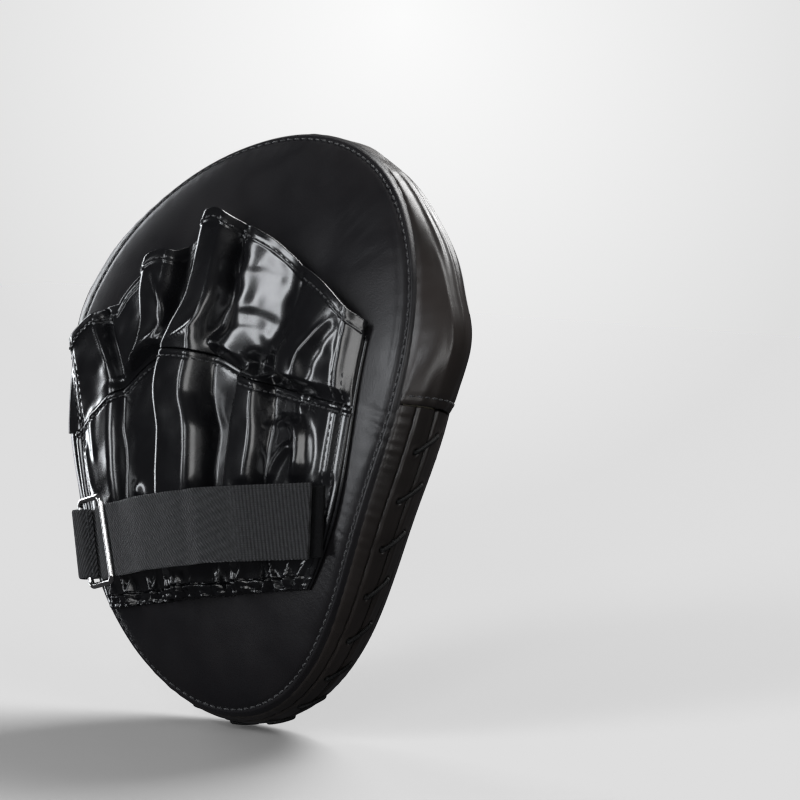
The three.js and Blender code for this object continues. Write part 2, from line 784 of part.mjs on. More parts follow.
// Points round a rectangle with rounded corners, as [a, b]: a from 0 to width and b from -half to half.
function roundedLoop(width, half, corner) {
  const centres = [
    [width - corner, half - corner],
    [corner, half - corner],
    [corner, corner - half],
    [width - corner, corner - half],
  ];
  const corners = centres.map(([a, b], quarter) =>
    [0, 0.5, 1].map((share) => {
      const angle = ((quarter + share) * Math.PI) / 2;
      return [a + corner * Math.cos(angle), b + corner * Math.sin(angle)];
    }),
  );
  const points = [];
  corners.forEach((arc, k) => {
    const start = arc[2];
    const end = corners[(k + 1) % 4][0];
    points.push(...arc);
    for (const share of [0.12, 0.5, 0.88]) {
      points.push([start[0] + share * (end[0] - start[0]), start[1] + share * (end[1] - start[1])]);
    }
  });
  return points;
}

// A wire loop from the bar in the keeper's fold to the bar that lies over the strap.
function buckleRing() {
  const outer = keeperPoint(OUTER_BAR_S, 0, foldMiddle());
  const inner = bandPoint(INNER_BAR_S, 0, strapLift(INNER_BAR_S) + WEBBING + GAP + WIRE_RADIUS);
  const origin = new THREE.Vector3(strapX(0, 0), 0, strapZ(0, 0));
  const along = new THREE.Vector3(strapX(0, 1), STRAP_LEAN, strapZ(0, 1)).sub(origin).normalize();
  const across = inner.sub(outer);
  across.addScaledVector(along, -across.dot(along));
  const width = across.length();
  across.normalize();
  const normal = new THREE.Vector3().crossVectors(across, along);
  along.applyAxisAngle(normal, RING_TWIST);
  across.applyAxisAngle(normal, RING_TWIST);
  const points = roundedLoop(width, RING_HALF, RING_CORNER).map(([a, b]) =>
    outer.clone().addScaledVector(across, a).addScaledVector(along, b),
  );
  return closedTube(points, WIRE_RADIUS, 52, 6);
}

// ---- Assembly

const mitt = new THREE.Group();
mitt.name = 'focus_mitt';

function add(name, geometry, material) {
  const mesh = new THREE.Mesh(geometry, material);
  mesh.name = name;
  mitt.add(mesh);
}

add('strike_panel', strikePanel(), leather());
add('back_panel', backPanel(), leather());
add('strike_foam', foamSlab(0, STRIKE_FOAM_END), foam(0x3a3a3c));
add('core_foam', foamSlab(CORE_FOAM_START, CORE_FOAM_END), foam(0xb9ae93));
add('backing_foam', foamSlab(BACKING_START, 1), foam(0x4a4a4d));

add('crown_gusset', crownGusset(), wallLeather());
add('strike_side_gusset', lacedStrip(0, STRIP_EDGE, 0, WALL, 1), wallLeather());
add('back_side_gusset', lacedStrip(1 - STRIP_EDGE, 1, 0, WALL, 1), wallLeather());
add('strike_lace_flap', lacedFlap(-1), wallLeather());
add('back_lace_flap', lacedFlap(1), wallLeather());
add('lace_underlay', laceUnderlay(), wallLeather());
add('lace_cord', laceCord(), cord());
add('strike_seam_thread', seamThread(-1), thread());
add('back_seam_thread', seamThread(1), thread());
add('gusset_thread_left', gussetThread(-1), thread());
add('gusset_thread_right', gussetThread(1), thread());

add('glove_base', gloveBase(), glossLeather());
add('hand_cover', handCover(), glossLeather());
add('finger_cover', fingerCover(), glossLeather());
add('elastic_hem', elasticHem(), glossLeather());
add('glove_thread_left', sideThread(-1), thread());
add('glove_thread_right', sideThread(1), thread());
add('mid_seam_thread', midSeamThread(), thread());
['little', 'ring', 'middle', 'index', 'thumb'].forEach((finger, stall) => {
  add(`hem_thread_${finger}`, hemThread(stall), thread());
});

add('loop_patch', loopPatch(), hookAndLoop());
add('ring_keeper', ringKeeper(), webbing());
add('keeper_thread', keeperThread(), thread());
add('strap_root', strapSection(ROOT_START, OPEN_HINGE_S - SECTION_GAP, 4, 0), webbing());
add('strap_inner', strapSection(OPEN_HINGE_S, PEEL_HINGE_S - SECTION_GAP, 12, 0), webbing());
add('strap_end', strapSection(PEEL_HINGE_S, STRAP_TIP, 14, END_SHEAR), webbing());
add('hook_patch', hookPatch(), hookAndLoop());
add('buckle_ring', buckleRing(), chrome());

export default mitt;
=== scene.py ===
"""Looks of a boxing focus mitt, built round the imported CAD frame.

Lengths in this script are millimetres unless a name ends in _M; they become metres when a mesh is made.
The frame's axes: +Z up the mitt to its finger end, +Y out of the striking face, -Y the hand side.
"""
import math

import bmesh
import bpy
import numpy as np
from mathutils import Matrix, Vector


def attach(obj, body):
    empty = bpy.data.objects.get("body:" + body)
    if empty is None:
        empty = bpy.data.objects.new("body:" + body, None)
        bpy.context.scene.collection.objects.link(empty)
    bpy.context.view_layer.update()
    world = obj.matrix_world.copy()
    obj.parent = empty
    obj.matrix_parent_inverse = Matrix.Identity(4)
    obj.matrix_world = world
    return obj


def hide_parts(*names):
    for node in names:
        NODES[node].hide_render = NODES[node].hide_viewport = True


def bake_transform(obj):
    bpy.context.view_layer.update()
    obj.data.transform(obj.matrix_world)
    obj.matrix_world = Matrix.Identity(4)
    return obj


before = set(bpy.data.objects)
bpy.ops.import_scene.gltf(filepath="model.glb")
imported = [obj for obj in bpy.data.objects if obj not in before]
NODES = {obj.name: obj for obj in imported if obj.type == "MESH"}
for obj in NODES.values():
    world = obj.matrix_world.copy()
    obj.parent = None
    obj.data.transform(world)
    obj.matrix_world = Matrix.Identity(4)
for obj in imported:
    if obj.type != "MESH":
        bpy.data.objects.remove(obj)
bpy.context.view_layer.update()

MM = 0.001

# ---------------------------------------------------------------- driving dimensions, as in the CAD
STRIKE_INSET = 4.2
HALF_LENGTH = 127
FLAT_HALF = 24
FACE_CROWN = 3
FACE_ROLL = 8
STRIKE_PUFF = 1.5
PUFF_START = 0.2
WALL_BULGE = 6.5
SKIN = 1.2
WALL = 1.4
SEAM_MARGIN = 1.7
SEAM_SINK = 1.8  # how much further in the stuffed visual pad's seams sit than the CAD's
CROWN_END = math.radians(84)
LACED_START = math.radians(84.3)
LACED_SWEEP = 2 * math.pi - 2 * LACED_START
STRIP_EDGE = 0.21
FLAP_EDGE = 0.216
SLIT_HALF = 0.012
FLAP_RAISE = 0.5
CROSSINGS = 17
END_ROOM = 0.68
CORD_RADIUS = 0.75
CORD_SWELL = 1.25  # soft braid spreads where it is not pulled tight
HOLE_OFFSET = 0.15
CROSSING_SLANT = 4
UNDERLAY_DROP = 3.9

COVER_LIFT = 1.9
COVER_THICKNESS = 1.2
CREST = 23
CREST_Z = 5
CREST_FALL = 0.0012
ARCH_POWER = 1.3
MID_SEAM = [(-80, -17), (-50, 3), (-29, 19), (3, 22), (30, 13), (78, 5.5)]
DIVIDERS = [(-88.5, 21.5), (-56, 41), (-29.5, 66), (-1, 80.5), (41, 63), (76.5, 42)]
STALL_RISE = [4, 9, 12, 4, 3]

STRAP_TILT = math.radians(9.5)
STRAP_ORIGIN_Z = -53.8
STRAP_HALF = 15.5
STRAP_LEAN = -0.19
WEBBING = 1.3
GAP = 0.5
LAYER_GAP = 0.4
ROOT_START = -54
STRAP_TIP = 67.6
ROOT_RAMP = (-44, -32)
PATCH_RAMP = (10, 21)
END_SHEAR = 0.15
HEM_TOP_Q = -21.4
HEM_BOTTOM_Q = -26
LOOP_START, LOOP_END, LOOP_HALF, LOOP_THICKNESS = 22, 71, 14.5, 1.2
HOOK_START, HOOK_END, HOOK_HALF, HOOK_THICKNESS = 26, 64, 13.5, 1.0
WIRE_RADIUS = 1.2
RING_CORNER = 3.0
OUTER_BAR_S = -61.5
KEEPER_FOLD_S = -66.5
KEEPER_RETURN_S = -55.8
KEEPER_END_S = -46
KEEPER_HALF = 14.6
KEEPER_THICKNESS = 1.2
KEEPER_ROOM = 3.4
PAST_BAR = 2.2


# ---------------------------------------------------------------- small mathematics

def smoothstep(value, low, high):
    t = np.clip((value - low) / (high - low), 0, 1)
    return t * t * (3 - 2 * t)


def bump(value, centre, width):
    return np.exp(-((value - centre) / width) ** 2)


def spline(points, count, closed=False):
    """A Catmull-Rom curve through points, sampled count times."""
    p = np.asarray(points, float)
    n = len(p)
    if closed:
        p = np.vstack([p[-1], p, p[0], p[1]])
        spans = n
    else:
        p = np.vstack([2 * p[0] - p[1], p, 2 * p[-1] - p[-2]])
        spans = n - 1
    t = np.linspace(0, spans, count, endpoint=not closed)
    k = np.minimum(t.astype(int), spans - 1)
    f = (t - k)[:, None]
    a, b, c, d = p[k], p[k + 1], p[k + 2], p[k + 3]
    return 0.5 * (
        2 * b + (c - a) * f + (2 * a - 5 * b + 4 * c - d) * f ** 2 + (3 * b - a - 3 * c + d) * f ** 3)


def curve_at(points, x):
    """The second coordinate of a smooth curve through points, at x."""
    samples = spline(sorted(points), 160)
    return np.interp(x, samples[:, 0], samples[:, 1])


def ripple(x, z, scale, seed):
    """Smooth, repeatable unevenness between about -1 and 1."""
    random = np.random.default_rng(seed)
    total = np.zeros(np.broadcast(x, z).shape)
    for _ in range(6):
        turn = random.uniform(0, 2 * math.pi)
        pitch = scale * random.uniform(0.6, 1.7)
        phase = random.uniform(0, 2 * math.pi)
        total += np.sin((x * math.cos(turn) + z * math.sin(turn)) * 2 * math.pi / pitch + phase)
    return total / 6


def wave(x, pitch, seed):
    """Uneven ripples along one direction."""
    random = np.random.default_rng(seed)
    total = 0
    for k in range(4):
        length = pitch * random.uniform(0.75, 1.5)
        total = total + np.sin(2 * math.pi * x / length + random.uniform(0, 6.28))
    return total / 4


def unit_grid(rows, columns):
    """Shares from 0 to 1 down a grid's rows and across its columns."""
    return np.linspace(0, 1, rows)[:, None], np.linspace(0, 1, columns)[None, :]


# ---------------------------------------------------------------- the pad's surfaces, measured on the frame

def node_points(node):
    mesh = NODES[node].data
    flat = np.empty(len(mesh.vertices) * 3)
    mesh.vertices.foreach_get("co", flat)
    return flat.reshape(-1, 3) / MM


def face_rim(node, side):
    """The outer rim of a face panel as (angle, radius, y); side is -1 for the striking face."""
    points = node_points(node)
    angle = np.arctan2(points[:, 0], points[:, 2])
    radius = np.hypot(points[:, 0], points[:, 2])
    rim = []
    for step in np.unique(np.round(angle[radius > 60], 3)):
        near = np.abs(angle - step) < 0.004
        outermost = near & (radius > radius[near].max() - 0.05)
        pick = np.argmin(points[outermost, 1] * side)
        rim.append((step, radius[outermost][pick], points[outermost, 1][pick]))
    return np.array(sorted(rim))


HAND_RIM = face_rim("back_panel", 1)
STRIKE_RIM = face_rim("strike_panel", -1)
OUTLINE_TERMS = np.linalg.lstsq(
    np.cos(np.outer(HAND_RIM[:, 0], np.arange(5))), HAND_RIM[:, 1], rcond=None)[0]
HAND_SWEEP_TERMS = np.polyfit(HAND_RIM[:, 1] * np.cos(HAND_RIM[:, 0]), HAND_RIM[:, 2], 2)


def reach(angle):
    return sum(term * np.cos(k * angle) for k, term in enumerate(OUTLINE_TERMS))


def hand_seam_y(z):
    return np.polyval(HAND_SWEEP_TERMS, z)


STRIKE_RIM_Z = reach(STRIKE_RIM[:, 0]) * np.cos(STRIKE_RIM[:, 0])
STRIKE_SEAM_Y = np.median(STRIKE_RIM[np.abs(STRIKE_RIM_Z) < FLAT_HALF, 2])


def strike_sweep(side):
    """How far one end of the striking face curls forward, at HALF_LENGTH; side is the sign of z."""
    far = np.argmax(STRIKE_RIM_Z * side)
    past = (abs(STRIKE_RIM_Z[far]) - FLAT_HALF) / (HALF_LENGTH - FLAT_HALF)
    return (STRIKE_RIM[far, 2] - STRIKE_SEAM_Y) / past ** 2


TOP_SWEEP = strike_sweep(1)
BOTTOM_SWEEP = strike_sweep(-1)


def strike_seam_y(z):
    past = np.maximum(0, np.abs(z) - FLAT_HALF) / (HALF_LENGTH - FLAT_HALF)
    return STRIKE_SEAM_Y + np.where(z > 0, TOP_SWEEP, BOTTOM_SWEEP) * past ** 2


def hand_crown(rho):
    return FACE_CROWN * (1 - np.minimum(rho, 1) ** FACE_ROLL)


def strike_crown(rho):
    past = np.maximum(0, rho - PUFF_START) / (1 - PUFF_START)
    return FACE_CROWN * (1 - rho ** FACE_ROLL) + STRIKE_PUFF * np.sin(math.pi * past * past) ** 2


def pad_radius(angle, depth):
    z = reach(angle) * np.cos(angle)
    slimness = (hand_seam_y(z) - strike_seam_y(z)) / (hand_seam_y(0) - STRIKE_SEAM_Y)
    belly = WALL_BULGE * slimness ** 2 * 4 * depth * (1 - depth)
    return reach(angle) - STRIKE_INSET * (1 - depth) + belly


def pad_point(angle, depth, inset):
    """A point of the wall; depth is 0 at the striking face's skin and 1 at the hand side's."""
    height = reach(angle) * np.cos(angle)
    front = strike_seam_y(height) - SEAM_MARGIN - SEAM_SINK
    back = hand_seam_y(height) + SEAM_MARGIN + SEAM_SINK
    r = pad_radius(angle, depth) - inset
    return np.stack([r * np.sin(angle), front + (back - front) * depth, r * np.cos(angle)], -1)


def hand_surface_y(x, z):
    rho = np.hypot(x, z) / reach(np.arctan2(x, z))
    return hand_seam_y(z) - hand_crown(rho)


def on_hand_side(x, z, lift):
    x, z = np.broadcast_arrays(x, z)
    return np.stack([x, hand_surface_y(x, z) - lift, z], -1)


# ---------------------------------------------------------------- meshes

def add_object(name, points, faces, uv=None):
    mesh = bpy.data.meshes.new(name)
    mesh.from_pydata((np.asarray(points) * MM).tolist(), [], faces)
    if uv is not None:
        layer = mesh.uv_layers.new(name="UVMap")
        loops = np.empty(len(mesh.loops), int)
        mesh.loops.foreach_get("vertex_index", loops)
        layer.data.foreach_set("uv", np.asarray(uv)[loops].astype(np.float32).ravel())
    work = bmesh.new()
    work.from_mesh(mesh)
    bmesh.ops.recalc_face_normals(work, faces=work.faces)
    work.to_mesh(mesh)
    work.free()
    mesh.shade_smooth()
    obj = bpy.data.objects.new(name, mesh)
    bpy.context.scene.collection.objects.link(obj)
    return obj


def grid_faces(rows, columns, wrap, start=0, flip=False, round_columns=False):
    """Quads of a grid; wrap joins the last row to the first, round_columns the last column to the first."""
    faces = []
    for i in range(rows if wrap else rows - 1):
        for j in range(columns if round_columns else columns - 1):
            a, b = start + i * columns, start + ((i + 1) % rows) * columns
            k = (j + 1) % columns
            quad = [a + j, b + j, b + k, a + k]
            faces.append(quad[::-1] if flip else quad)
    return faces


def cord_faces(rows, sides, closed=False, start=0):
    """Faces of a cord of rows rings, capped at both ends unless it is closed."""
    faces = grid_faces(rows, sides, closed, start, round_columns=True)
    if not closed:
        faces.append([start + j for j in reversed(range(sides))])
        faces.append([start + (rows - 1) * sides + j for j in range(sides)])
    return faces


def shell(name, outer, inner, wrap=False, uv=None):
    """A closed sheet between two grids of points; wrap joins the last row to the first."""
    rows, columns = outer.shape[:2]
    count = rows * columns
    points = np.vstack([outer.reshape(-1, 3), inner.reshape(-1, 3)])
    faces = grid_faces(rows, columns, wrap)
    faces += grid_faces(rows, columns, wrap, count, True)
    for i in range(rows if wrap else rows - 1):
        k = (i + 1) % rows
        for j, turn in ((0, 1), (columns - 1, -1)):
            quad = [i * columns + j, k * columns + j, count + k * columns + j, count + i * columns + j]
            faces.append(quad[::turn])
    if not wrap:
        for j in range(columns - 1):
            for i, turn in ((0, -1), (rows - 1, 1)):
                a = i * columns + j
                faces.append([a, a + 1, count + a + 1, count + a][::turn])
    if uv is not None:
        uv = np.vstack([uv.reshape(-1, 2), uv.reshape(-1, 2)])
    return add_object(name, points, faces, uv)


def disc_shell(name, outer, inner):
    """A closed sheet from two grids whose first column is one point, the middle of a disc."""
    rows, columns = outer.shape[:2]
    points, faces, starts = [], [], []
    for grid, flip in ((outer, False), (inner, True)):
        centre = sum(len(p) for p in points)
        points += [grid[:1, 0], grid[:, 1:].reshape(-1, 3)]
        start = centre + 1
        starts.append(start)
        for i in range(rows):
            a = start + i * (columns - 1)
            b = start + ((i + 1) % rows) * (columns - 1)
            faces.append([centre, b, a] if flip else [centre, a, b])
        faces += grid_faces(rows, columns - 1, True, start, flip)
    last = columns - 2
    for i in range(rows):
        k = (i + 1) % rows
        a, b = starts[0] + i * (columns - 1) + last, starts[0] + k * (columns - 1) + last
        c, d = starts[1] + k * (columns - 1) + last, starts[1] + i * (columns - 1) + last
        faces.append([a, b, c, d])
    return add_object(name, np.vstack(points), faces)


def frames_along(points, closed):
    """Tangents and two steady cross directions along a line of points."""
    if closed:
        tangent = np.roll(points, -1, 0) - np.roll(points, 1, 0)
    else:
        tangent = np.gradient(points, axis=0)
    tangent /= np.linalg.norm(tangent, axis=1)[:, None]
    side = np.cross(tangent[0], (0.3, 0.2, 0.93))
    side /= np.linalg.norm(side)
    sides = []
    for direction in tangent:
        side = side - direction * (side @ direction)
        side /= np.linalg.norm(side)
        sides.append(side)
    sides = np.array(sides)
    return tangent, sides, np.cross(tangent, sides)


def tube(name, points, radius, sides=12, closed=False):
    """A round cord along points, with a UV of (length along it, turn round it)."""
    points = np.asarray(points, float)
    count = len(points)
    _, across, up = frames_along(points, closed)
    turn = np.linspace(0, 2 * math.pi, sides, endpoint=False)
    ring = np.cos(turn)[None, :, None] * across[:, None] + np.sin(turn)[None, :, None] * up[:, None]
    body = points[:, None] + radius * ring
    length = np.concatenate([[0], np.cumsum(np.linalg.norm(np.diff(points, axis=0), axis=1))])
    uv = np.stack(np.broadcast_arrays(length[:, None], turn[None, :] / (2 * math.pi)), -1).reshape(-1, 2)
    return add_object(name, body.reshape(-1, 3), cord_faces(count, sides, closed), uv)


def spread(points, normals, spacing, closed=False):
    """Evenly spaced places along a line of points: centres, tangents and normals."""
    line = np.vstack([points, points[:1]]) if closed else points
    ups = np.vstack([normals, normals[:1]]) if closed else normals
    length = np.concatenate([[0], np.cumsum(np.linalg.norm(np.diff(line, axis=0), axis=1))])
    count = max(2, round(length[-1] / spacing))
    at = (np.arange(count) + 0.5) * length[-1] / count

    def read(source, places):
        return np.stack([np.interp(places, length, source[:, k]) for k in range(3)], -1)

    centre, normal = read(line, at), read(ups, at)
    tangent = read(line, at + 0.3) - read(line, at - 0.3)
    tangent /= np.linalg.norm(tangent, axis=1)[:, None]
    normal -= tangent * np.sum(normal * tangent, 1)[:, None]
    normal /= np.linalg.norm(normal, axis=1)[:, None]
    return centre, tangent, normal


def stitches(name, centre, tangent, normal, length=3.0, radius=0.38, seed=1):
    """A row of separate stitches: short rounded threads whose ends dive into the leather."""
    random = np.random.default_rng(seed)
    across = np.cross(normal, tangent)
    steps = np.array([-1, -0.86, -0.5, 0, 0.5, 0.86, 1])
    girth = np.array([0.45, 0.85, 1, 1, 1, 0.85, 0.45])
    height = radius * np.array([-1.6, -0.5, 0.35, 0.55, 0.35, -0.5, -1.6])
    sides = 8
    turn = np.linspace(0, 2 * math.pi, sides, endpoint=False)
    points, faces, uv = [], [], []
    for k in range(len(centre)):
        sway = random.uniform(-0.12, 0.12)
        reach_k = length / 2 * random.uniform(0.93, 1.05)
        for step, grow, rise in zip(steps, girth, height):
            middle = centre[k] + tangent[k] * step * reach_k + across[k] * sway * step + normal[k] * rise
            ring = (np.cos(turn)[:, None] * across[k] + np.sin(turn)[:, None] * normal[k]) * radius * grow
            points.append(middle + ring)
            uv.append(np.stack([np.full(sides, step * reach_k), turn / (2 * math.pi)], -1))
        faces += cord_faces(len(steps), sides, start=k * len(steps) * sides)
    return add_object(name, np.vstack(points), faces, np.vstack(uv))


def finish_piece(obj, material, slot, body, *nodes):
    """Dresses a piece, hangs it on its body and hides the CAD nodes it stands for."""
    obj.data.materials.clear()
    obj.data.materials.append(material)
    if body:
        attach(obj, body)
    if nodes:
        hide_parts(*nodes)
    return obj


# ---------------------------------------------------------------- cloth

def relax(grid, pinned, outward, pressure, slack, cap, wrap=False, frames=20):
    """Lets a sheet settle as cloth under inside pressure, and gives back how far each point moved.

    grid is rows by columns of points, pinned says which of them are sewn down, outward is a direction the
    sheet's outside roughly faces, and slack is the share by which the sheet is cut larger than its place.
    """
    rows, columns = grid.shape[:2]
    sheet = bpy.data.meshes.new("cloth_sheet")
    sheet.from_pydata((grid.reshape(-1, 3) * MM).tolist(), [], grid_faces(rows, columns, wrap))
    sheet.update()
    obj = bpy.data.objects.new("cloth_sheet", sheet)
    bpy.context.scene.collection.objects.link(obj)
    normals = np.array([f.normal for f in sheet.polygons])
    if (normals @ np.asarray(outward)).sum() < 0:
        sheet.flip_normals()
    group = obj.vertex_groups.new(name="pin")
    group.add(np.flatnonzero(pinned.ravel()).tolist(), 1.0, "REPLACE")
    cloth = obj.modifiers.new("Cloth", "CLOTH")
    settings = cloth.settings
    settings.quality = 6
    settings.mass = 0.3
    settings.tension_stiffness = 25
    settings.compression_stiffness = 25
    settings.shear_stiffness = 10
    settings.bending_stiffness = 1.5
    settings.vertex_group_mass = "pin"
    settings.shrink_min = -slack
    settings.use_pressure = True
    settings.uniform_pressure_force = pressure
    settings.effector_weights.gravity = 0
    cloth.point_cache.frame_start = 1
    cloth.point_cache.frame_end = frames
    scene = bpy.context.scene
    for number in range(1, frames + 1):
        scene.frame_set(number)
    settled = obj.evaluated_get(bpy.context.evaluated_depsgraph_get())
    flat = np.empty(rows * columns * 3)
    settled.data.vertices.foreach_get("co", flat)
    scene.frame_set(1)
    bpy.data.objects.remove(obj, do_unlink=True)
    moved = flat.reshape(rows, columns, 3) / MM - grid
    distance = np.linalg.norm(moved, axis=-1, keepdims=True)
    return moved * np.minimum(1, cap / np.maximum(distance, 1e-6))


def cubic_weights(count, fine, closed):
    """Matrix that reads fine places out of count samples by smooth interpolation."""
    t = np.arange(fine) * (count / fine) if closed else np.linspace(0, count - 1, fine)
    low = np.minimum(np.floor(t).astype(int), count - 1)
    f = t - low
    shares = (
        -0.5 * f + f ** 2 - 0.5 * f ** 3, 1 - 2.5 * f ** 2 + 1.5 * f ** 3,
        0.5 * f + 2 * f ** 2 - 1.5 * f ** 3, -0.5 * f ** 2 + 0.5 * f ** 3)
    matrix = np.zeros((fine, count))
    for step, share in zip((-1, 0, 1, 2), shares):
        column = (low + step) % count if closed else np.clip(low + step, 0, count - 1)
        np.add.at(matrix, (np.arange(fine), column), share)
    return matrix


def refine(field, rows, columns, wrap=False):
    """A coarse grid of vectors, softened and read at a finer grid's places."""
    for _ in range(2):
        if wrap:
            field = (np.roll(field, 1, 0) + 2 * field + np.roll(field, -1, 0)) / 4
        else:
            field = np.concatenate([field[:1], (field[:-2] + 2 * field[1:-1] + field[2:]) / 4, field[-1:]])
        middle = (field[:, :-2] + 2 * field[:, 1:-1] + field[:, 2:]) / 4
        field = np.concatenate([field[:, :1], middle, field[:, -1:]], 1)
    tall = np.tensordot(cubic_weights(field.shape[0], rows, wrap), field, 1)
    wide = np.tensordot(cubic_weights(field.shape[1], columns, False), tall, (1, 1))
    return wide.transpose(1, 0, 2)


# ---------------------------------------------------------------- materials

class Shader:
    """Short names for building one node material."""

    def __init__(self, name, color, roughness, metallic=0.0):
        self.material = bpy.data.materials.new(name)
        self.material.use_nodes = True
        self.tree = self.material.node_tree
        self.surface = self.tree.nodes["Principled BSDF"]
        self.set("Base Color", (*color, 1))
        self.set("Roughness", roughness)
        self.set("Metallic", metallic)
        coordinates = self.tree.nodes.new("ShaderNodeTexCoord")
        self.place = coordinates.outputs["Object"]
        self.uv = coordinates.outputs["UV"]
        self.height = None

    def set(self, socket, value):
        self.surface.inputs[socket].default_value = value

    def node(self, kind, **values):
        made = self.tree.nodes.new(kind)
        for key, value in values.items():
            if hasattr(made, key):
                setattr(made, key, value)
            else:
                made.inputs[key].default_value = value
        return made

    def join(self, source, target):
        self.tree.links.new(source, target)

    def noise(self, scale, detail=3.0, roughness=0.5, stretch=None, source=None):
        made = self.node("ShaderNodeTexNoise")
        made.inputs["Scale"].default_value = scale
        made.inputs["Detail"].default_value = detail
        made.inputs["Roughness"].default_value = roughness
        place = source or self.place
        if stretch:
            mapping = self.node("ShaderNodeMapping")
            mapping.inputs["Scale"].default_value = stretch
            self.join(place, mapping.inputs["Vector"])
            place = mapping.outputs["Vector"]
        self.join(place, made.inputs["Vector"])
        return made.outputs["Fac"]

    def cells(self, scale):
        made = self.node("ShaderNodeTexVoronoi", feature="SMOOTH_F1")
        made.inputs["Scale"].default_value = scale
        made.inputs["Smoothness"].default_value = 0.4
        self.join(self.place, made.inputs["Vector"])
        return made.outputs["Distance"]

    def math(self, operation, first, second=0.0, third=None):
        made = self.node("ShaderNodeMath", operation=operation)
        for socket, value in zip(made.inputs, (first, second, third)):
            if value is None:
                continue
            if isinstance(value, (int, float)):
                socket.default_value = value
            else:
                self.join(value, socket)
        return made.outputs[0]

    def remap(self, source, low, high, new_low, new_high):
        made = self.node("ShaderNodeMapRange")
        for key, value in (("From Min", low), ("From Max", high), ("To Min", new_low), ("To Max", new_high)):
            made.inputs[key].default_value = value
        self.join(source, made.inputs["Value"])
        return made.outputs["Result"]

    def vary(self, socket, source, low, high):
        self.join(self.remap(source, 0.3, 0.7, low, high), self.surface.inputs[socket])

    def tint(self, source, dark, light):
        mix = self.node("ShaderNodeMix", data_type="RGBA")
        mix.inputs["A"].default_value = (*dark, 1)
        mix.inputs["B"].default_value = (*light, 1)
        made = self.remap(source, 0.3, 0.7, 0, 1)
        self.join(made, mix.inputs["Factor"])
        self.join(mix.outputs["Result"], self.surface.inputs["Base Color"])

    def relief(self, source, strength, distance_mm):
        made = self.node("ShaderNodeBump")
        made.inputs["Strength"].default_value = strength
        made.inputs["Distance"].default_value = distance_mm * MM
        self.join(source, made.inputs["Height"])
        if self.height:
            self.join(self.height, made.inputs["Normal"])
        self.height = made.outputs["Normal"]
        self.join(self.height, self.surface.inputs["Normal"])


def pad_leather():
    """Fine-grained synthetic leather, satin."""
    s = Shader("pad_leather", (0.013, 0.0125, 0.014), 0.4)
    s.tint(s.noise(22, 4), (0.0062, 0.0059, 0.007), (0.0115, 0.0104, 0.0112))
    s.vary("Roughness", s.noise(60, 5), 0.34, 0.47)
    s.relief(s.noise(45, 3), 0.35, 0.5)
    s.relief(s.cells(1150), 0.3, 0.12)
    s.relief(s.noise(2600, 3), 0.25, 0.06)
    s.set("Specular IOR Level", 0.38)
    return s.material


def wall_leather():
    """Smoother synthetic leather on the wall, with faint pull lines along it."""
    s = Shader("wall_leather", (0.015, 0.0135, 0.013), 0.34)
    s.tint(s.noise(18, 4), (0.012, 0.0105, 0.0095), (0.029, 0.0235, 0.021))
    s.vary("Roughness", s.noise(50, 5), 0.30, 0.44)
    s.relief(s.noise(70, 4), 0.3, 0.5)
    s.relief(s.cells(1500), 0.2, 0.08)
    s.relief(s.noise(2400, 3), 0.2, 0.05)
    return s.material


def gloss_leather():
    """Patent synthetic leather, high gloss, with fine creases."""
    s = Shader("gloss_leather", (0.006, 0.006, 0.0068), 0.26)
    s.tint(s.noise(30, 4), (0.003, 0.003, 0.0036), (0.006, 0.006, 0.0068))
    s.vary("Roughness", s.noise(90, 5), 0.21, 0.30)
    s.relief(s.noise(60, 2), 0.2, 0.4)
    s.relief(s.noise(420, 4), 0.12, 0.12)
    s.relief(s.cells(1700), 0.10, 0.05)
    s.set("Coat Weight", 0.5)
    s.set("Coat Roughness", 0.14)
    return s.material


RIBS_FROM = (30, 44)  # where along the strap the twill turns to ribs


def webbing():
    """Woven webbing: diagonal twill, turning to cross ribs where the free end is doubled over the hooks."""
    s = Shader("webbing", (0.02, 0.02, 0.021), 0.72)
    split = s.node("ShaderNodeSeparateXYZ")
    s.join(s.uv, split.inputs["Vector"])
    along, across = split.outputs["X"], split.outputs["Y"]

    def ripples(source, pitch):
        return s.math("SINE", s.math("MULTIPLY", source, 2 * math.pi / pitch))

    diagonal = ripples(s.math("ADD", along, s.math("MULTIPLY", across, 0.62)), 1.5)
    warp, weft, rib = ripples(across, 0.92), ripples(along, 0.8), ripples(along, 1.5)
    crossed = s.math("MULTIPLY", s.math("MULTIPLY", warp, weft), 0.4)
    twill = s.math("ADD", s.math("MULTIPLY", diagonal, 0.7), crossed)
    ribs = s.math("ADD", rib, s.math("MULTIPLY", warp, 0.3))
    share = s.node("ShaderNodeMapRange", interpolation_type="SMOOTHSTEP")
    share.inputs["From Min"].default_value, share.inputs["From Max"].default_value = RIBS_FROM
    s.join(along, share.inputs["Value"])
    blend = s.node("ShaderNodeMix", data_type="FLOAT")
    s.join(share.outputs["Result"], blend.inputs["Factor"])
    s.join(twill, blend.inputs[2])
    s.join(ribs, blend.inputs[3])
    weave = blend.outputs[0]
    s.relief(weave, 1.0, 0.3)
    s.relief(s.noise(1800, 3), 0.5, 0.12)
    # the weave's colour follows its relief: painted shade darkens the grooves and painted light brightens the
    # ridges, on top of a random tone from the fine noise
    shade = s.math("ADD", s.math("MULTIPLY", weave, 0.3), s.noise(900, 3))
    s.tint(shade, (0.0035, 0.0035, 0.0038), (0.024, 0.024, 0.026))
    s.vary("Roughness", s.noise(300, 3), 0.62, 0.82)
    s.set("Sheen Weight", 0.15)
    s.set("Sheen Roughness", 0.4)
    return s.material


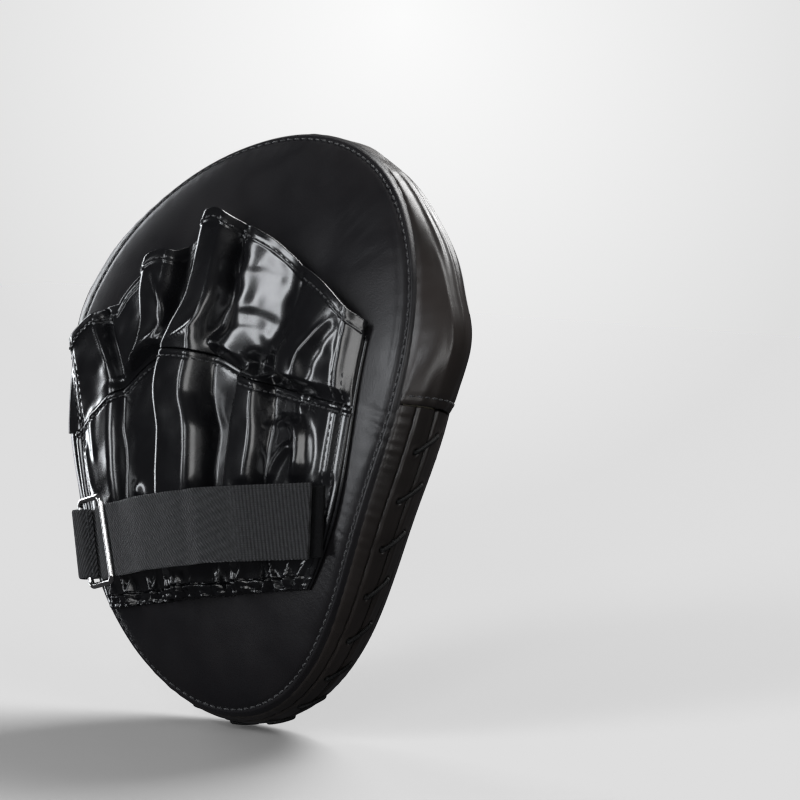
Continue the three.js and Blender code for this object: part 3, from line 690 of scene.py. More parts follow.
def loop_tape():
    """The soft loop side: dense fuzz."""
    s = Shader("loop_tape", (0.007, 0.007, 0.0075), 0.95)
    s.tint(s.noise(1500, 4, 0.7), (0.0012, 0.0012, 0.0014), (0.006, 0.006, 0.0064))
    s.relief(s.noise(1700, 5, 0.75), 1.0, 0.6)
    s.set("Sheen Weight", 0.05)
    s.set("Specular IOR Level", 0.1)
    return s.material


def hook_tape():
    """The stiff hook side: rows of small nylon hooks on a woven ground."""
    s = Shader("hook_tape", (0.012, 0.012, 0.013), 0.6)
    s.tint(s.noise(700, 3), (0.008, 0.008, 0.009), (0.02, 0.02, 0.021))
    s.relief(s.noise(2200, 3, 0.6), 0.6, 0.2)
    s.vary("Roughness", s.noise(200, 2), 0.45, 0.7)
    return s.material


def cord():
    """Waxed braided cord."""
    s = Shader("cord", (0.005, 0.005, 0.005), 0.7)
    split = s.node("ShaderNodeSeparateXYZ")
    s.join(s.uv, split.inputs["Vector"])
    length = s.math("MULTIPLY", split.outputs["X"], 2 * math.pi / 1.1)
    turn = s.math("MULTIPLY", split.outputs["Y"], 4 * math.pi)
    strands = [s.math("SINE", s.math(way, length, turn)) for way in ("ADD", "SUBTRACT")]
    braid = s.math("MULTIPLY", *strands)
    s.relief(braid, 0.8, 0.15)
    s.relief(s.noise(2500, 2), 0.4, 0.05)
    s.tint(s.noise(800, 2), (0.0025, 0.0025, 0.0025), (0.007, 0.007, 0.007))
    s.set("Specular IOR Level", 0.2)
    return s.material


def thread():
    """Twisted bonded sewing thread."""
    s = Shader("thread", (0.02, 0.02, 0.021), 0.45)
    split = s.node("ShaderNodeSeparateXYZ")
    s.join(s.uv, split.inputs["Vector"])
    length = s.math("MULTIPLY", split.outputs["X"], 2 * math.pi / 0.8)
    turn = s.math("MULTIPLY", split.outputs["Y"], 2 * math.pi)
    s.relief(s.math("SINE", s.math("ADD", length, turn)), 0.7, 0.12)
    s.tint(s.noise(1200, 2), (0.012, 0.012, 0.013), (0.035, 0.035, 0.037))
    s.set("Sheen Weight", 0.15)
    return s.material


def chrome():
    """Polished plating with hairline scratches and slight tarnish."""
    s = Shader("chrome", (0.82, 0.81, 0.8), 0.1, 1.0)
    s.tint(s.noise(140, 4), (0.62, 0.60, 0.59), (0.88, 0.87, 0.86))
    s.vary("Roughness", s.noise(900, 5, 0.6), 0.05, 0.2)
    s.relief(s.noise(1500, 2, 0.5, stretch=(1, 1, 8)), 0.12, 0.03)
    return s.material


def foam(name, color, pore):
    """Cellular foam with open pores."""
    s = Shader(name, color, 0.92)
    dark = tuple(0.6 * c for c in color)
    light = tuple(min(1.0, 1.25 * c) for c in color)
    s.tint(s.noise(pore, 4), dark, light)
    s.relief(s.cells(pore), 0.8, 0.5)
    s.set("Specular IOR Level", 0.2)
    return s.material


PAD = pad_leather()
WALL_SKIN = wall_leather()
GLOSS = gloss_leather()
WEB = webbing()
LOOPS = loop_tape()
HOOKS = hook_tape()
CORD = cord()
THREAD = thread()
CHROME = chrome()

# ---------------------------------------------------------------- faces of the pad

STITCH_EDGE = 2.9  # how far inside the seam the topstitching runs
SECOND_ROW = 3.6  # and how much further in a second, fainter pull line
RIM_SINK = 3.0  # the stuffed faces roll down this much towards the seam
RIM_SINK_REACH = 18
RIM_STEPS = np.array([
    0, 0.25, 0.5, 0.8, 1.2, 1.7, 2.3, 2.9, 3.4, 3.8, 4.2, 4.6, 5.0, 5.6, 6.4, 7.6, 9.4, 12, 15.5, 20])
INNER_RINGS = 22
AROUND = 720


def face_grid():
    """Angles and radii shares of a face: the middle first, then rings that crowd towards the seam."""
    angle = np.linspace(-math.pi, math.pi, AROUND, endpoint=False)[:, None]
    size = reach(angle)
    inner = (1 - RIM_STEPS[-1] / size) * np.linspace(0, 1, INNER_RINGS)[None, :-1]
    outer = 1 - RIM_STEPS[::-1][None, :] / size
    return angle, np.hstack([inner, outer])


def seam_relief(edge, along, double):
    """Height of the leather near a topstitched seam, edge millimetres inside it."""
    sewn = -0.6 * bump(edge, STITCH_EDGE, 0.9) - 0.35 * double * bump(edge, STITCH_EDGE + SECOND_ROW, 0.9)
    welt = 0.35 * bump(edge, 1.5, 0.8)
    turn = -1.5 * np.exp(-(edge / 0.75) ** 2)
    pull = -RIM_SINK * np.exp(-edge / RIM_SINK_REACH)
    pucker = 0.07 * wave(along, 7.3, 3) * bump(edge, 6.2, 3.2)
    pucker = pucker + 0.06 * wave(along, 4.1, 5) * bump(edge, 1.6, 1.2)
    return sewn + welt + turn + pull + pucker


# creases of the hand face: a line of (x, z), half width and depth
FACE_CREASES = [
    ([(80, 8), (88, 5), (97, 6)], 1.6, 0.5), ([(82, 2), (90, -1), (98, 0)], 1.3, 0.45),
    ([(84, -4), (91, -7), (97, -6)], 1.4, 0.35), ([(46, 78), (56, 82), (66, 80)], 1.3, 0.25),
    ([(40, 86), (50, 88), (58, 87)], 1.2, 0.2), ([(60, 70), (68, 72), (78, 69)], 1.4, 0.25),
]


def face_sheet(side):
    """Outer surface of a face, side -1 striking and +1 hand, with how far along the seam each row is."""
    angle, rho = face_grid()
    z = rho * reach(angle) * np.cos(angle)
    edge = (1 - rho) * reach(angle)
    depth = 0 if side < 0 else 1
    r = rho * pad_radius(angle, depth)
    along = reach(angle) * angle
    double = smoothstep(angle, 0.35, 0.6) * (1 - smoothstep(angle, 1.2, 1.4)) if side > 0 else 0
    height = seam_relief(edge, along, double) + 0.3 * ripple(r * np.sin(angle), z, 55, 11 + side)
    if side > 0:
        height = height - sum(ridge(r * np.sin(angle), z, *crease) for crease in FACE_CREASES)
    if side < 0:
        y = strike_seam_y(z) + strike_crown(rho) + height
    else:
        y = hand_seam_y(z) - hand_crown(rho) - height
    return np.stack([r * np.sin(angle), y, r * np.cos(angle)], -1), angle, rho


def coarse_face(side, rows=96, columns=15):
    """A 5 mm sheet of the same face for the cloth to settle on."""
    angle = np.linspace(-math.pi, math.pi, rows, endpoint=False)[:, None]
    rho = np.linspace(0.04, 1, columns)[None, :] ** 0.8
    z = rho * reach(angle) * np.cos(angle)
    r = rho * pad_radius(angle, 0 if side < 0 else 1)
    y = strike_seam_y(z) + strike_crown(rho) if side < 0 else hand_seam_y(z) - hand_crown(rho)
    points = np.stack([r * np.sin(angle), y, r * np.cos(angle)], -1)
    pinned = np.zeros((rows, columns), bool)
    pinned[:, -1] = True
    pinned[:, 0] = True
    return points, pinned, rho[0]


CLOTH_PUFF = {-1: 1.6, 1: 0.9}  # the most each face may settle outwards


def build_face(name, side, node, stitch_name, stitch_node):
    outer, angle, rho = face_sheet(side)
    coarse, pinned, rings = coarse_face(side)
    moved = relax(coarse, pinned, (0, -side, 0), pressure=1.2, slack=0.012, cap=1.6, wrap=True)
    rows = refine(moved, AROUND, len(rings), wrap=True)[..., 1]
    push = np.stack([np.interp(rho[i], rings, rows[i], left=0) for i in range(AROUND)])
    push *= smoothstep(rho, 0.1, 0.3)
    outer[..., 1] -= side * np.clip(-side * push, -0.1, CLOTH_PUFF[side])
    inner = outer.copy()
    inner[..., 1] += side * SKIN
    finish_piece(disc_shell(name, outer, inner), PAD, "pad_leather", "pad", node)
    at = np.array([np.interp(1 - STITCH_EDGE / reach(a[0]), rho[i], np.arange(rho.shape[1]))
                   for i, a in enumerate(angle)])
    low = np.floor(at).astype(int)
    f = (at - low)[:, None]
    i = np.arange(AROUND)
    line = outer[i, low] * (1 - f) + outer[i, low + 1] * f
    normal = np.tile((0.0, -float(side), 0.0), (AROUND, 1))
    line += normal * 0.12
    centre, tangent, up = spread(line, normal, 4.0, closed=True)
    row = stitches(stitch_name, centre, tangent, up, 3.1, 0.4, 21 + side)
    finish_piece(row, THREAD, "thread", "pad", stitch_node)


# ---------------------------------------------------------------- wall

CROWN_PUFFS = ((3.5, 1.23, 0.14), (8.0, 1.08, 0.40))  # height, angle from the top and spread of the swellings
# pull lines of the crown: start and end angle, depth at the start, slope, width in depth and height
CROWN_PULLS = (
    (0.45, 1.15, 0.50, -0.10, 0.045, 1.0), (0.55, 1.30, 0.64, -0.16, 0.035, 0.9),
    (0.35, 1.05, 0.76, -0.12, 0.035, 0.8), (0.70, 1.38, 0.36, -0.08, 0.05, 0.8),
    (0.80, 1.40, 0.80, -0.25, 0.03, 0.7), (0.10, 0.80, 0.60, 0.05, 0.05, 0.5),
)
CROWN_STITCH_ANGLE = 0.033  # the crown's side stitching runs this angle inside its ends
ALONG_WALL = 110  # millimetres of wall for each radian, near enough for ripples


def crown_puff(angle, depth):
    """How far the crown's stuffed wall stands out past the pad's even belly."""
    height = 0
    for most, centre, spread_angle in CROWN_PUFFS:
        away = (np.abs(angle) - centre) / spread_angle
        height = height + most * np.exp(-away * away)
    return height * 4 * depth * (1 - depth)


def wall_relief(angle, depth, width):
    """Pull lines, gathers and seam turns of the crown piece; width is the wall's width at that angle."""
    from_strike, from_hand = depth * width, (1 - depth) * width
    turn = -1.3 * (np.exp(-(from_strike / 0.9) ** 2) + np.exp(-(from_hand / 0.9) ** 2))
    pulls = 0
    for start, end, low, slope, wide, high in CROWN_PULLS:
        for side in (-1, 1):
            a = side * angle
            centre = low + slope * (a - start)
            fade = smoothstep(a, start, start + 0.2) * (1 - smoothstep(a, end - 0.25, end))
            pulls = pulls + high * fade * bump(depth, centre, wide)
    close = CROWN_END - np.abs(angle)
    gather = 0.9 * np.exp(-close / 0.09) * wave(depth * width, 7.5, 8) * 4 * depth * (1 - depth)
    fold = -1.0 * np.exp(-(close / 0.012) ** 2)
    sewn = -0.4 * bump(close, CROWN_STITCH_ANGLE, 0.01)
    pucker = 0.25 * wave(angle * ALONG_WALL, 6, 4) * (np.exp(-from_hand / 5) + np.exp(-from_strike / 5))
    return turn + pulls + gather + fold + sewn + pucker


def wall_width(angle):
    return np.linalg.norm(pad_point(angle, 0.0, 0) - pad_point(angle, 1.0, 0), axis=-1)


def build_crown():
    rows, columns = 300, 60
    angle = np.linspace(-CROWN_END, CROWN_END, rows)[:, None]
    half = 0.5 - 0.5 * np.cos(np.linspace(0, math.pi, columns))
    depth = (0.35 * half + 0.65 * np.linspace(0, 1, columns))[None, :]
    coarse_angle = np.linspace(-CROWN_END, CROWN_END, 76)[:, None]
    coarse_depth = np.linspace(0, 1, 11)[None, :]
    coarse = pad_point(coarse_angle, coarse_depth, -crown_puff(coarse_angle, coarse_depth))
    pinned = np.zeros(coarse.shape[:2], bool)
    pinned[0] = pinned[-1] = True
    pinned[:, 0] = pinned[:, -1] = True
    moved = refine(relax(coarse, pinned, (0, 0, 1), pressure=1.5, slack=0.006, cap=1.5), rows, columns)

    def crown_lift(angle, depth):
        return crown_puff(angle, depth) + wall_relief(angle, depth, wall_width(angle))

    lift = crown_lift(angle, depth)
    outer = pad_point(angle, depth, -lift) + moved
    inner = pad_point(angle, depth, WALL - lift) + moved
    finish_piece(shell("crown_wall", outer, inner), WALL_SKIN, "wall_leather", "pad", "crown_gusset")
    for side, word in ((-1, "left"), (1, "right")):
        stitch_angle = np.array(side * (CROWN_END - CROWN_STITCH_ANGLE))
        share = np.linspace(0.06, 0.94, 60)
        lift = crown_lift(stitch_angle, share)
        line = pad_point(stitch_angle, share, -lift - 0.15)
        normal = line - pad_point(stitch_angle, share, 2 - lift)
        centre, tangent, up = spread(line, normal, 3.6)
        row = stitches(f"crown_stitches_{word}", centre, tangent, up, length=2.7, radius=0.36, seed=31 + side)
        finish_piece(row, THREAD, "thread", "pad", f"gusset_thread_{word}")


def strip(low, high, raised, thickness, rows, columns, relief):
    """Outer and inner surface of a length of the laced wall between two depths."""
    along, across = unit_grid(rows, columns)
    angle = LACED_START + along * LACED_SWEEP
    depth = low + across * (high - low)
    lift = raised + relief(angle, across, depth)
    return pad_point(angle, depth, -lift), pad_point(angle, depth, thickness - lift)


def crossing_angles():
    samples = LACED_START + np.linspace(0, 1, 401) * LACED_SWEEP
    line = pad_point(samples, 0.5, 0)
    length = np.concatenate([[0], np.cumsum(np.linalg.norm(np.diff(line, axis=0), axis=1))])
    spacing = length[-1] / (CROSSINGS - 1 + 2 * END_ROOM)
    return np.interp((np.arange(CROSSINGS) + END_ROOM) * spacing, length, samples)


def build_laced_wall():
    crossings = crossing_angles()
    slant = CROSSING_SLANT / reach(crossings)

    def strip_relief(seam_at_start):
        def relief(angle, across, _):
            width = wall_width(angle) * STRIP_EDGE
            edge = (across if seam_at_start else 1 - across) * width
            free = (1 - across if seam_at_start else across) * width
            turn = -1.3 * np.exp(-(edge / 0.9) ** 2) - 0.6 * np.exp(-(free / 0.5) ** 2)
            along = angle * ALONG_WALL
            return turn + 0.2 * wave(along, 9, 12) * (1 - np.exp(-edge / 3)) + 0.15 * wave(along, 5, 2)
        return relief

    def flap_relief(side):
        def relief(angle, across, depth):
            width = wall_width(angle) * (0.5 - FLAP_EDGE)
            free, sewn = across * width, (1 - across) * width
            hem = -0.9 * np.exp(-(free / 0.7) ** 2) + 0.25 * bump(free, 2.2, 1.2)
            hem = hem - 0.7 * np.exp(-(sewn / 0.6) ** 2)
            tug = 0
            for a, step in zip(crossings, slant):
                away = (angle - (a + side * step)) * reach(a)
                reach_in = (depth - (0.5 + side * HOLE_OFFSET)) * wall_width(angle)
                distance = np.hypot(away, reach_in)
                tug = tug - 1.9 * np.exp(-(distance / 1.05) ** 4) + 0.3 * bump(distance, 2.1, 0.8)
                tug = tug - 0.3 * bump(distance, 0, 5)
                course = away + side * step * reach(a) * (1 - (depth - 0.5) * side / HOLE_OFFSET)
                tug = tug - 0.5 * bump(course, 0, 1.3) * (np.abs(depth - 0.5) < HOLE_OFFSET)
            return hem + tug + 0.25 * wave(angle * ALONG_WALL, 14, 6 + side) * (1 - np.exp(-free / 4))
        return relief

    rows = 520
    pieces = (
        ("strike_strip", "strike_side_gusset", 0, STRIP_EDGE, 0, 16, strip_relief(True)),
        ("hand_strip", "back_side_gusset", 1 - STRIP_EDGE, 1, 0, 16, strip_relief(False)),
        ("strike_flap", "strike_lace_flap", 0.5 - SLIT_HALF, FLAP_EDGE, FLAP_RAISE, 22, flap_relief(-1)),
        ("hand_flap", "back_lace_flap", 0.5 + SLIT_HALF, 1 - FLAP_EDGE, FLAP_RAISE, 22, flap_relief(1)),
    )
    for name, node, low, high, raised, columns, relief in pieces:
        outer, inner = strip(low, high, raised, WALL, rows, columns, relief)
        finish_piece(shell(name, outer, inner), WALL_SKIN, "wall_leather", "pad", node)
    outer, inner = strip(0.3, 0.7, -UNDERLAY_DROP, 1.0, 160, 10, lambda angle, across, _: 0 * angle * across)
    finish_piece(shell("slit_underlay", outer, inner), WALL_SKIN, "wall_leather", "pad", "lace_underlay")

    above, below = -(FLAP_RAISE + 0.4), 2.2
    # one crossing of the cord: shares of its slant and of the holes' offset, and how deep it lies
    course = (
        (-1, -1, below), (-1, -1, -FLAP_RAISE), (-0.75, -0.8, above), (0, 0, above),
        (0.75, 0.8, above), (1, 1, -FLAP_RAISE), (1, 1, below), (2, 0, below),
    )
    route = [pad_point(a + along * step, 0.5 + across * HOLE_OFFSET, inset)
             for a, step in zip(crossings, slant) for along, across, inset in course]
    line = spline(np.array(route[:-1]), 1800)
    finish_piece(tube("lacing", line, CORD_RADIUS * CORD_SWELL, 12), CORD, "cord", "pad", "lace_cord")


# ---------------------------------------------------------------- glove

SIDE_ROWS = (3.2, 6.4)  # how far inside the glove's side edges its two rows of stitches run


def left_seam_x(z):
    return -83.5 - 0.3 * z


def right_seam_x(z):
    return 77 - 2.4e-5 * np.maximum(0, 20 - z) ** 3


def cover_lift(x, z):
    """Height of the hand cover's underside over the pad, as in the CAD."""
    left = left_seam_x(z)
    share = np.clip((x - left) / (right_seam_x(z) - left), 0, 1)
    crest = CREST - CREST_FALL * (z - CREST_Z) ** 2
    return COVER_LIFT + crest * np.sin(math.pi * share) ** ARCH_POWER


def strap_line_z(x, q):
    return STRAP_ORIGIN_Z + x * math.tan(STRAP_TILT) + q / math.cos(STRAP_TILT)


LEFT_SHOULDER, RIGHT_SHOULDER = 0.28, 0.46  # shares of a fold's half width that are nearly flat
FLANK_POWER = 2.1
FOLD_SPREAD = 1.04  # the folds' feet lie this much further out than their knots' half widths


def fold(x, z, knots, arch=None):
    """A tube-like fold: nearly flat on top, falling over tight shoulders to 0 at its flanks.

    knots are (z, middle x, half width, height) from the lower end to the upper end. With arch, the heights
    are shares of what arch(x, z) gives on the fold's middle line.
    """
    knots = sorted(knots)
    heights = [k[0] for k in knots]
    samples = spline([k[1:] for k in knots], 80)
    at = np.interp(z, heights, np.linspace(0, 79, len(knots)))
    middle, half, height = (np.interp(at, np.arange(80), samples[:, k]) for k in range(3))
    across = np.abs(x - middle) / (FOLD_SPREAD * half)
    shoulder = np.where(x < middle, LEFT_SHOULDER, RIGHT_SHOULDER)
    drop = np.clip((across - shoulder) / (1 - shoulder), 0, 1)
    if arch:
        height = height * arch(middle, z)
    return height * (1 - 0.05 * across ** 2) * (1 - drop ** FLANK_POWER)


def ridge(x, z, line, width, height, taper=0.25):
    """A narrow raised crease along a line of (x, z) points."""
    samples = spline(line, 70)
    shares = np.linspace(0, 1, 70)
    strength = height * smoothstep(shares, 0, taper) * (1 - smoothstep(shares, 1 - taper, 1))
    best = np.zeros(np.broadcast(x, z).shape)
    for (px, pz), strong in zip(samples, strength):
        best = np.maximum(best, strong * np.exp(-((x - px) ** 2 + (z - pz) ** 2) / width ** 2))
    return best


def join_folds(parts, sharp=7):
    total = sum(np.maximum(part, 0) ** sharp for part in parts)
    return total ** (1 / sharp)


# folds of the hand cover, each a list of knots whose heights are shares of the cover's arch
HAND_SLOPES = [
    [(-80, -52, 13, 0.80), (-40, -55, 16, 0.92), (-15, -59, 17, 0.92), (8, -64, 16, 0.75)],
]
HAND_FOLDS = [
    [(-80, 66, 11, 1.0), (-30, 66.5, 11.5, 1.35), (0, 67, 11.5, 1.4), (12, 67.5, 11.5, 1.4)],
    [(-80, -3, 15.5, 0.86), (-38, -2.5, 16.3, 0.93), (-12, -3, 16.8, 0.96), (6, -8.5, 15.8, 0.96),
     (26, -9, 15, 0.95)],
    [(-80, 29.5, 9.5, 0.88), (-36, 30, 10.3, 0.95), (-12, 31.5, 11, 0.99), (9, 30.5, 8.8, 0.98),
     (24, 29, 8, 0.9)],
    [(-80, 47, 9, 0.70), (-32, 49, 12, 0.76), (-14, 50, 12.5, 0.80), (-5, 50, 11, 0.66), (1, 49, 8, 0.35)],
]
# raised creases: a line of (x, z), half width and height
HAND_CREASES = [
    ([(43, -33), (46.5, -22), (52, -14.5), (57, -13)], 2.2, 2.3),
    ([(40, -6.5), (49.5, -2.5), (56.5, -7), (58.5, -18), (56, -31)], 2.2, 2.7),
    ([(50, 9), (58, -3), (61, -15), (58, -31)], 2.6, 2.2),
    ([(-72, -20), (-66, -30), (-60, -42)], 2.5, 1.0),
    ([(-66, -4), (-63, -16), (-60, -30)], 2.6, 0.9),
    ([(-33, -34), (-31.5, -42), (-31, -50)], 3.2, 2.6),
]


PLEAT_COUNT = 24
PLEAT_TOP_Q = -11  # the wrist's gathers start here, under the strap
PLEATS = np.random.default_rng(17)
PLEAT_X = np.linspace(-76, 66, PLEAT_COUNT) + PLEATS.uniform(-2, 2, PLEAT_COUNT)
PLEAT_LEAN = PLEATS.uniform(-0.5, 0.5, PLEAT_COUNT)
PLEAT_WIDTH = PLEATS.uniform(1.1, 2.3, PLEAT_COUNT)
PLEAT_HEIGHT = PLEATS.uniform(2.4, 4.8, PLEAT_COUNT)


def pleats(x, z):
    """Gathers of the wrist end: pointed under the strap and widening towards the elastic."""
    below = np.clip(strap_line_z(x, PLEAT_TOP_Q) - z, 0, 16)
    grow = below / 10
    total = np.zeros(np.broadcast(x, z).shape)
    for middle, lean, width, height in zip(PLEAT_X, PLEAT_LEAN, PLEAT_WIDTH, PLEAT_HEIGHT):
        across = np.abs(x - middle - lean * below) / (width * (0.25 + grow))
        total = np.maximum(total, height * np.minimum(1, grow) * np.maximum(0, 1 - across) ** 0.8)
    return total


def arch_height(x, z):
    return cover_lift(x, z) - COVER_LIFT


def hand_lift(x, z):
    """Lift of the hand cover's outer surface over the pad."""
    envelope = arch_height(x, z)
    under_strap = smoothstep(strap_line_z(x, STRAP_HALF + 2) - z, -3, 4)
    slopes = [envelope * fold(x, z, knots) for knots in HAND_SLOPES]
    folds = [fold(x, z, knots, arch_height) for knots in HAND_FOLDS]
    floor = envelope * (0.30 + 0.08 * ripple(x, z, 38, 5))
    body = join_folds([join_folds(slopes + folds), floor], 5)
    body = body * (1 - under_strap) + np.minimum(body, 0.93 * envelope) * under_strap
    creases = sum(ridge(x, z, line, width, height) for line, width, height in HAND_CREASES)
    creases = creases * (1 - under_strap)
    from_left, from_right = x - left_seam_x(z), right_seam_x(z) - x
    near_seam = np.minimum(from_left, from_right)
    settle = smoothstep(near_seam, 0, 7)
    sewn = -0.5 * bump(near_seam, SIDE_ROWS[0], 0.9) - 0.4 * bump(near_seam, SIDE_ROWS[1], 0.8)
    sewn = sewn + 0.3 * bump(near_seam, 1.4, 0.8)
    small = 0.25 * ripple(x, z * 0.5, 12, 7) * settle
    lift = COVER_LIFT + COVER_THICKNESS + (body + creases) * settle
    wrist = smoothstep(strap_line_z(x, PLEAT_TOP_Q) - z, 0, 8)
    lift = lift * (1 - 0.24 * wrist) + (pleats(x, z) - 0.6) * wrist * settle
    return np.maximum(lift, 2.4) + sewn + small * (1 - under_strap)


def glove_x(u, z, overhang=0.0):
    left = left_seam_x(z) - overhang
    return left + u * (right_seam_x(z) + overhang - left)


def mid_seam_z(x):
    return curve_at(MID_SEAM, x)


COVER_CLOTH = ((0, -1, 0), 2.0, 0.006, 1.2)  # outward direction, pressure, slack and cap of the covers' cloth


def hand_cover_outline(u, v):
    z = np.full(np.broadcast(u, v).shape, -20.0)
    for _ in range(6):
        x = glove_x(u, z)
        low = strap_line_z(x, HEM_TOP_Q + 0.4)
        z = low + v * (mid_seam_z(x) - low)
    return glove_x(u, z), z


def build_hand_cover():
    rows, columns = 260, 180
    x, z = hand_cover_outline(*unit_grid(rows, columns))
    cx, cz = hand_cover_outline(*unit_grid(66, 46))
    coarse = on_hand_side(cx, cz, hand_lift(cx, cz))
    pinned = np.zeros(coarse.shape[:2], bool)
    pinned[:2] = pinned[-2:] = True
    pinned[:, :18] = pinned[:, -2:] = True
    moved = refine(relax(coarse, pinned, *COVER_CLOTH), rows, columns)
    lift = hand_lift(x, z)
    from_top = mid_seam_z(x) - z
    lift = lift - 0.4 * bump(from_top, 3, 0.9) + 0.4 * bump(from_top, 1.2, 0.9)
    outer = on_hand_side(x, z, lift) + moved
    inner = outer.copy()
    inner[..., 1] += COVER_THICKNESS
    finish_piece(shell("hand_cover_skin", outer, inner), GLOSS, "gloss_leather", "pad", "hand_cover")


# x, z and height over the pad of the finger cover's folds, panel by panel from the little finger to the thumb
FINGER_FORM = [
    (-90, 20, 4), (-84, 26, 7), (-76, 32, 9), (-80, 12, 4), (-74, 22, 7.5), (-70, 4, 4), (-64, 12, 7),
    (-71, 34, 10), (-65, 28, 10.5), (-59.7, 20.9, 10.5), (-54, 13, 10.5), (-50, 7, 10.5), (-62, -2, 5),
    (-60, 40, 9), (-53, 34, 10), (-48, 25, 9.5), (-44, 16, 10), (-53, 45, 10),
    (-46, 56, 8), (-38, 68, 7), (-25, 70, 5), (-22, 55, 5), (-20, 40, 8), (-30, 30, 11), (-34, 19, 13),
    (-20, 26, 16), (-5, 24, 19), (-12, 82, 6), (-10, 60, 6), (-8, 44, 8),
    (2, 84, 6), (5, 70, 7), (7, 57, 7), (6.5, 45, 7), (6, 34, 9), (7, 26, 14),
    (9.5, 82, 14.5), (11, 70, 15.5), (12, 57, 14), (12, 45, 12), (12, 35, 11.5), (14, 27, 13),
    (20, 76, 14.5), (20, 62, 12.8), (21, 48, 10.5), (20, 37, 10.5), (21, 29, 10),
    (31, 70, 11.0), (32, 57, 9.4), (32, 44, 7.6), (31, 34, 7.5), (26, 21, 6), (33, 18, 6), (36, 26, 8),
    (40, 63, 8.0), (40, 52, 7.2), (40, 42, 7.0), (39, 33, 7.5),
    (47, 62, 10), (47, 52, 10.5), (46.5, 42, 11.5), (45.5, 32, 12.5), (43, 24, 13),
    (57, 54, 11.5), (59, 46, 12.5), (55, 36, 13.5), (50, 26, 14.5), (48, 17, 15),
    (67, 46, 11), (61, 34, 13.6), (57, 26, 14.2), (54.5, 16, 14),
    (69.5, 37, 9.5), (64.5, 27, 9.5), (61, 18, 9), (62, 8, 8.5), (75, 30, 8), (74, 14, 7.5), (69, 22, 8.5),
]
# tube-like stalls: z, middle x, half width and height over the pad
FINGER_FOLDS = [
    [(10, -38, 9, 12), (30, -32, 11, 15), (48, -35.5, 12, 16.5), (66, -38.5, 12, 15.5), (78, -38.5, 12, 14)],
    [(14, -10, 15.5, 23), (32, -7.5, 13, 22.5), (46, -5, 11.8, 21), (62, -7.5, 11.2, 19),
     (82, -12.3, 11, 16.5), (95, -13, 11, 16)],
]
# sunken lines between the panels, as creases with a depth
FINGER_TRENCHES = [
    ([(-66, 38), (-60, 29), (-52, 17), (-47, 8)], 3.0, 6.0),
    ([(43.5, 60), (43.5, 46), (42.5, 34), (38, 25)], 2.2, 1.6),
    ([(70, 40), (64, 30), (59.5, 20), (58, 10)], 3.0, 1.2),
    ([(25, 20), (31, 18.5), (36, 20)], 4.5, 5.0),
]
FORM_SMOOTHING = 3.0  # lets the sheet miss its knots a little, so that it doesn't dimple at them


def thin_plate(square):
    return square * np.log(square + 1e-9)


def solve_form(knots):
    """Weights of the thin sheet that hangs through the knots."""
    knots = np.array(knots, float)
    count = len(knots)
    away = ((knots[:, None, :2] - knots[None, :, :2]) ** 2).sum(-1)
    plane = np.hstack([np.ones((count, 1)), knots[:, :2]])
    system = np.zeros((count + 3, count + 3))
    system[:count, :count] = thin_plate(away) + FORM_SMOOTHING * np.eye(count)
    system[:count, count:] = plane
    system[count:, :count] = plane.T
    answer = np.linalg.solve(system, np.concatenate([knots[:, 2], np.zeros(3)]))
    return knots[:, :2], answer[:count], answer[count:]


def form_height(form, x, z):
    places, weights, plane = form
    total = plane[0] + plane[1] * x + plane[2] * z
    for (px, pz), weight in zip(places, weights):
        total = total + weight * thin_plate((x - px) ** 2 + (z - pz) ** 2)
    return total


FINGER_SHEET = solve_form(FINGER_FORM)
FINGER_CREASES = [
    ([(-2, 80), (0.6, 68), (3.8, 56), (3, 42), (-2, 32), (-19, 22), (-41, 13)], 1.5, 0.9),
    ([(-29.5, 68), (-26, 53.5), (-19.5, 40)], 1.5, 0.8),
    ([(-40, 61), (-31, 49), (-24, 38), (-27, 29), (-38, 21)], 1.5, 1.0),
    ([(-71, 35), (-65, 28), (-59.7, 21), (-50, 7)], 1.5, 1.0),
    ([(46, 60), (46, 44), (44.5, 33), (41, 25)], 1.4, 0.8),
    ([(67, 43), (61, 33), (55.5, 24), (54.5, 15)], 1.5, 1.0),
    ([(9, 37), (17, 40), (28, 39), (38, 34)], 3.4, 0.7),
    ([(9, 30), (18, 33.5), (28, 33), (35, 29)], 3.0, 0.7),
]


STALL_HEM = (5.0, 6.2)  # the folded hem of a stall ends between these distances from its edge
STALL_STITCH_EDGE = 4.3
FOLDED_HEM = 0.9  # extra thickness of the doubled leather


def stall_at(u):
    count = len(STALL_RISE)
    stall = np.minimum(count - 1, np.floor(u * count + 1e-6)).astype(int)
    return stall, np.clip(u * count - stall, 0, 1)


def finger_column(u):
    """The hem point and the foot of each column of the finger cover."""
    stall, share = stall_at(u)
    ends = np.array(DIVIDERS, float)
    top = ends[stall] + share[..., None] * (ends[stall + 1] - ends[stall])
    top_z = top[..., 1] + np.array(STALL_RISE, float)[stall] * np.sin(math.pi * share)
    foot_x = glove_x(u, 0.0)
    return top[..., 0], top_z, foot_x, mid_seam_z(foot_x) + 0.5


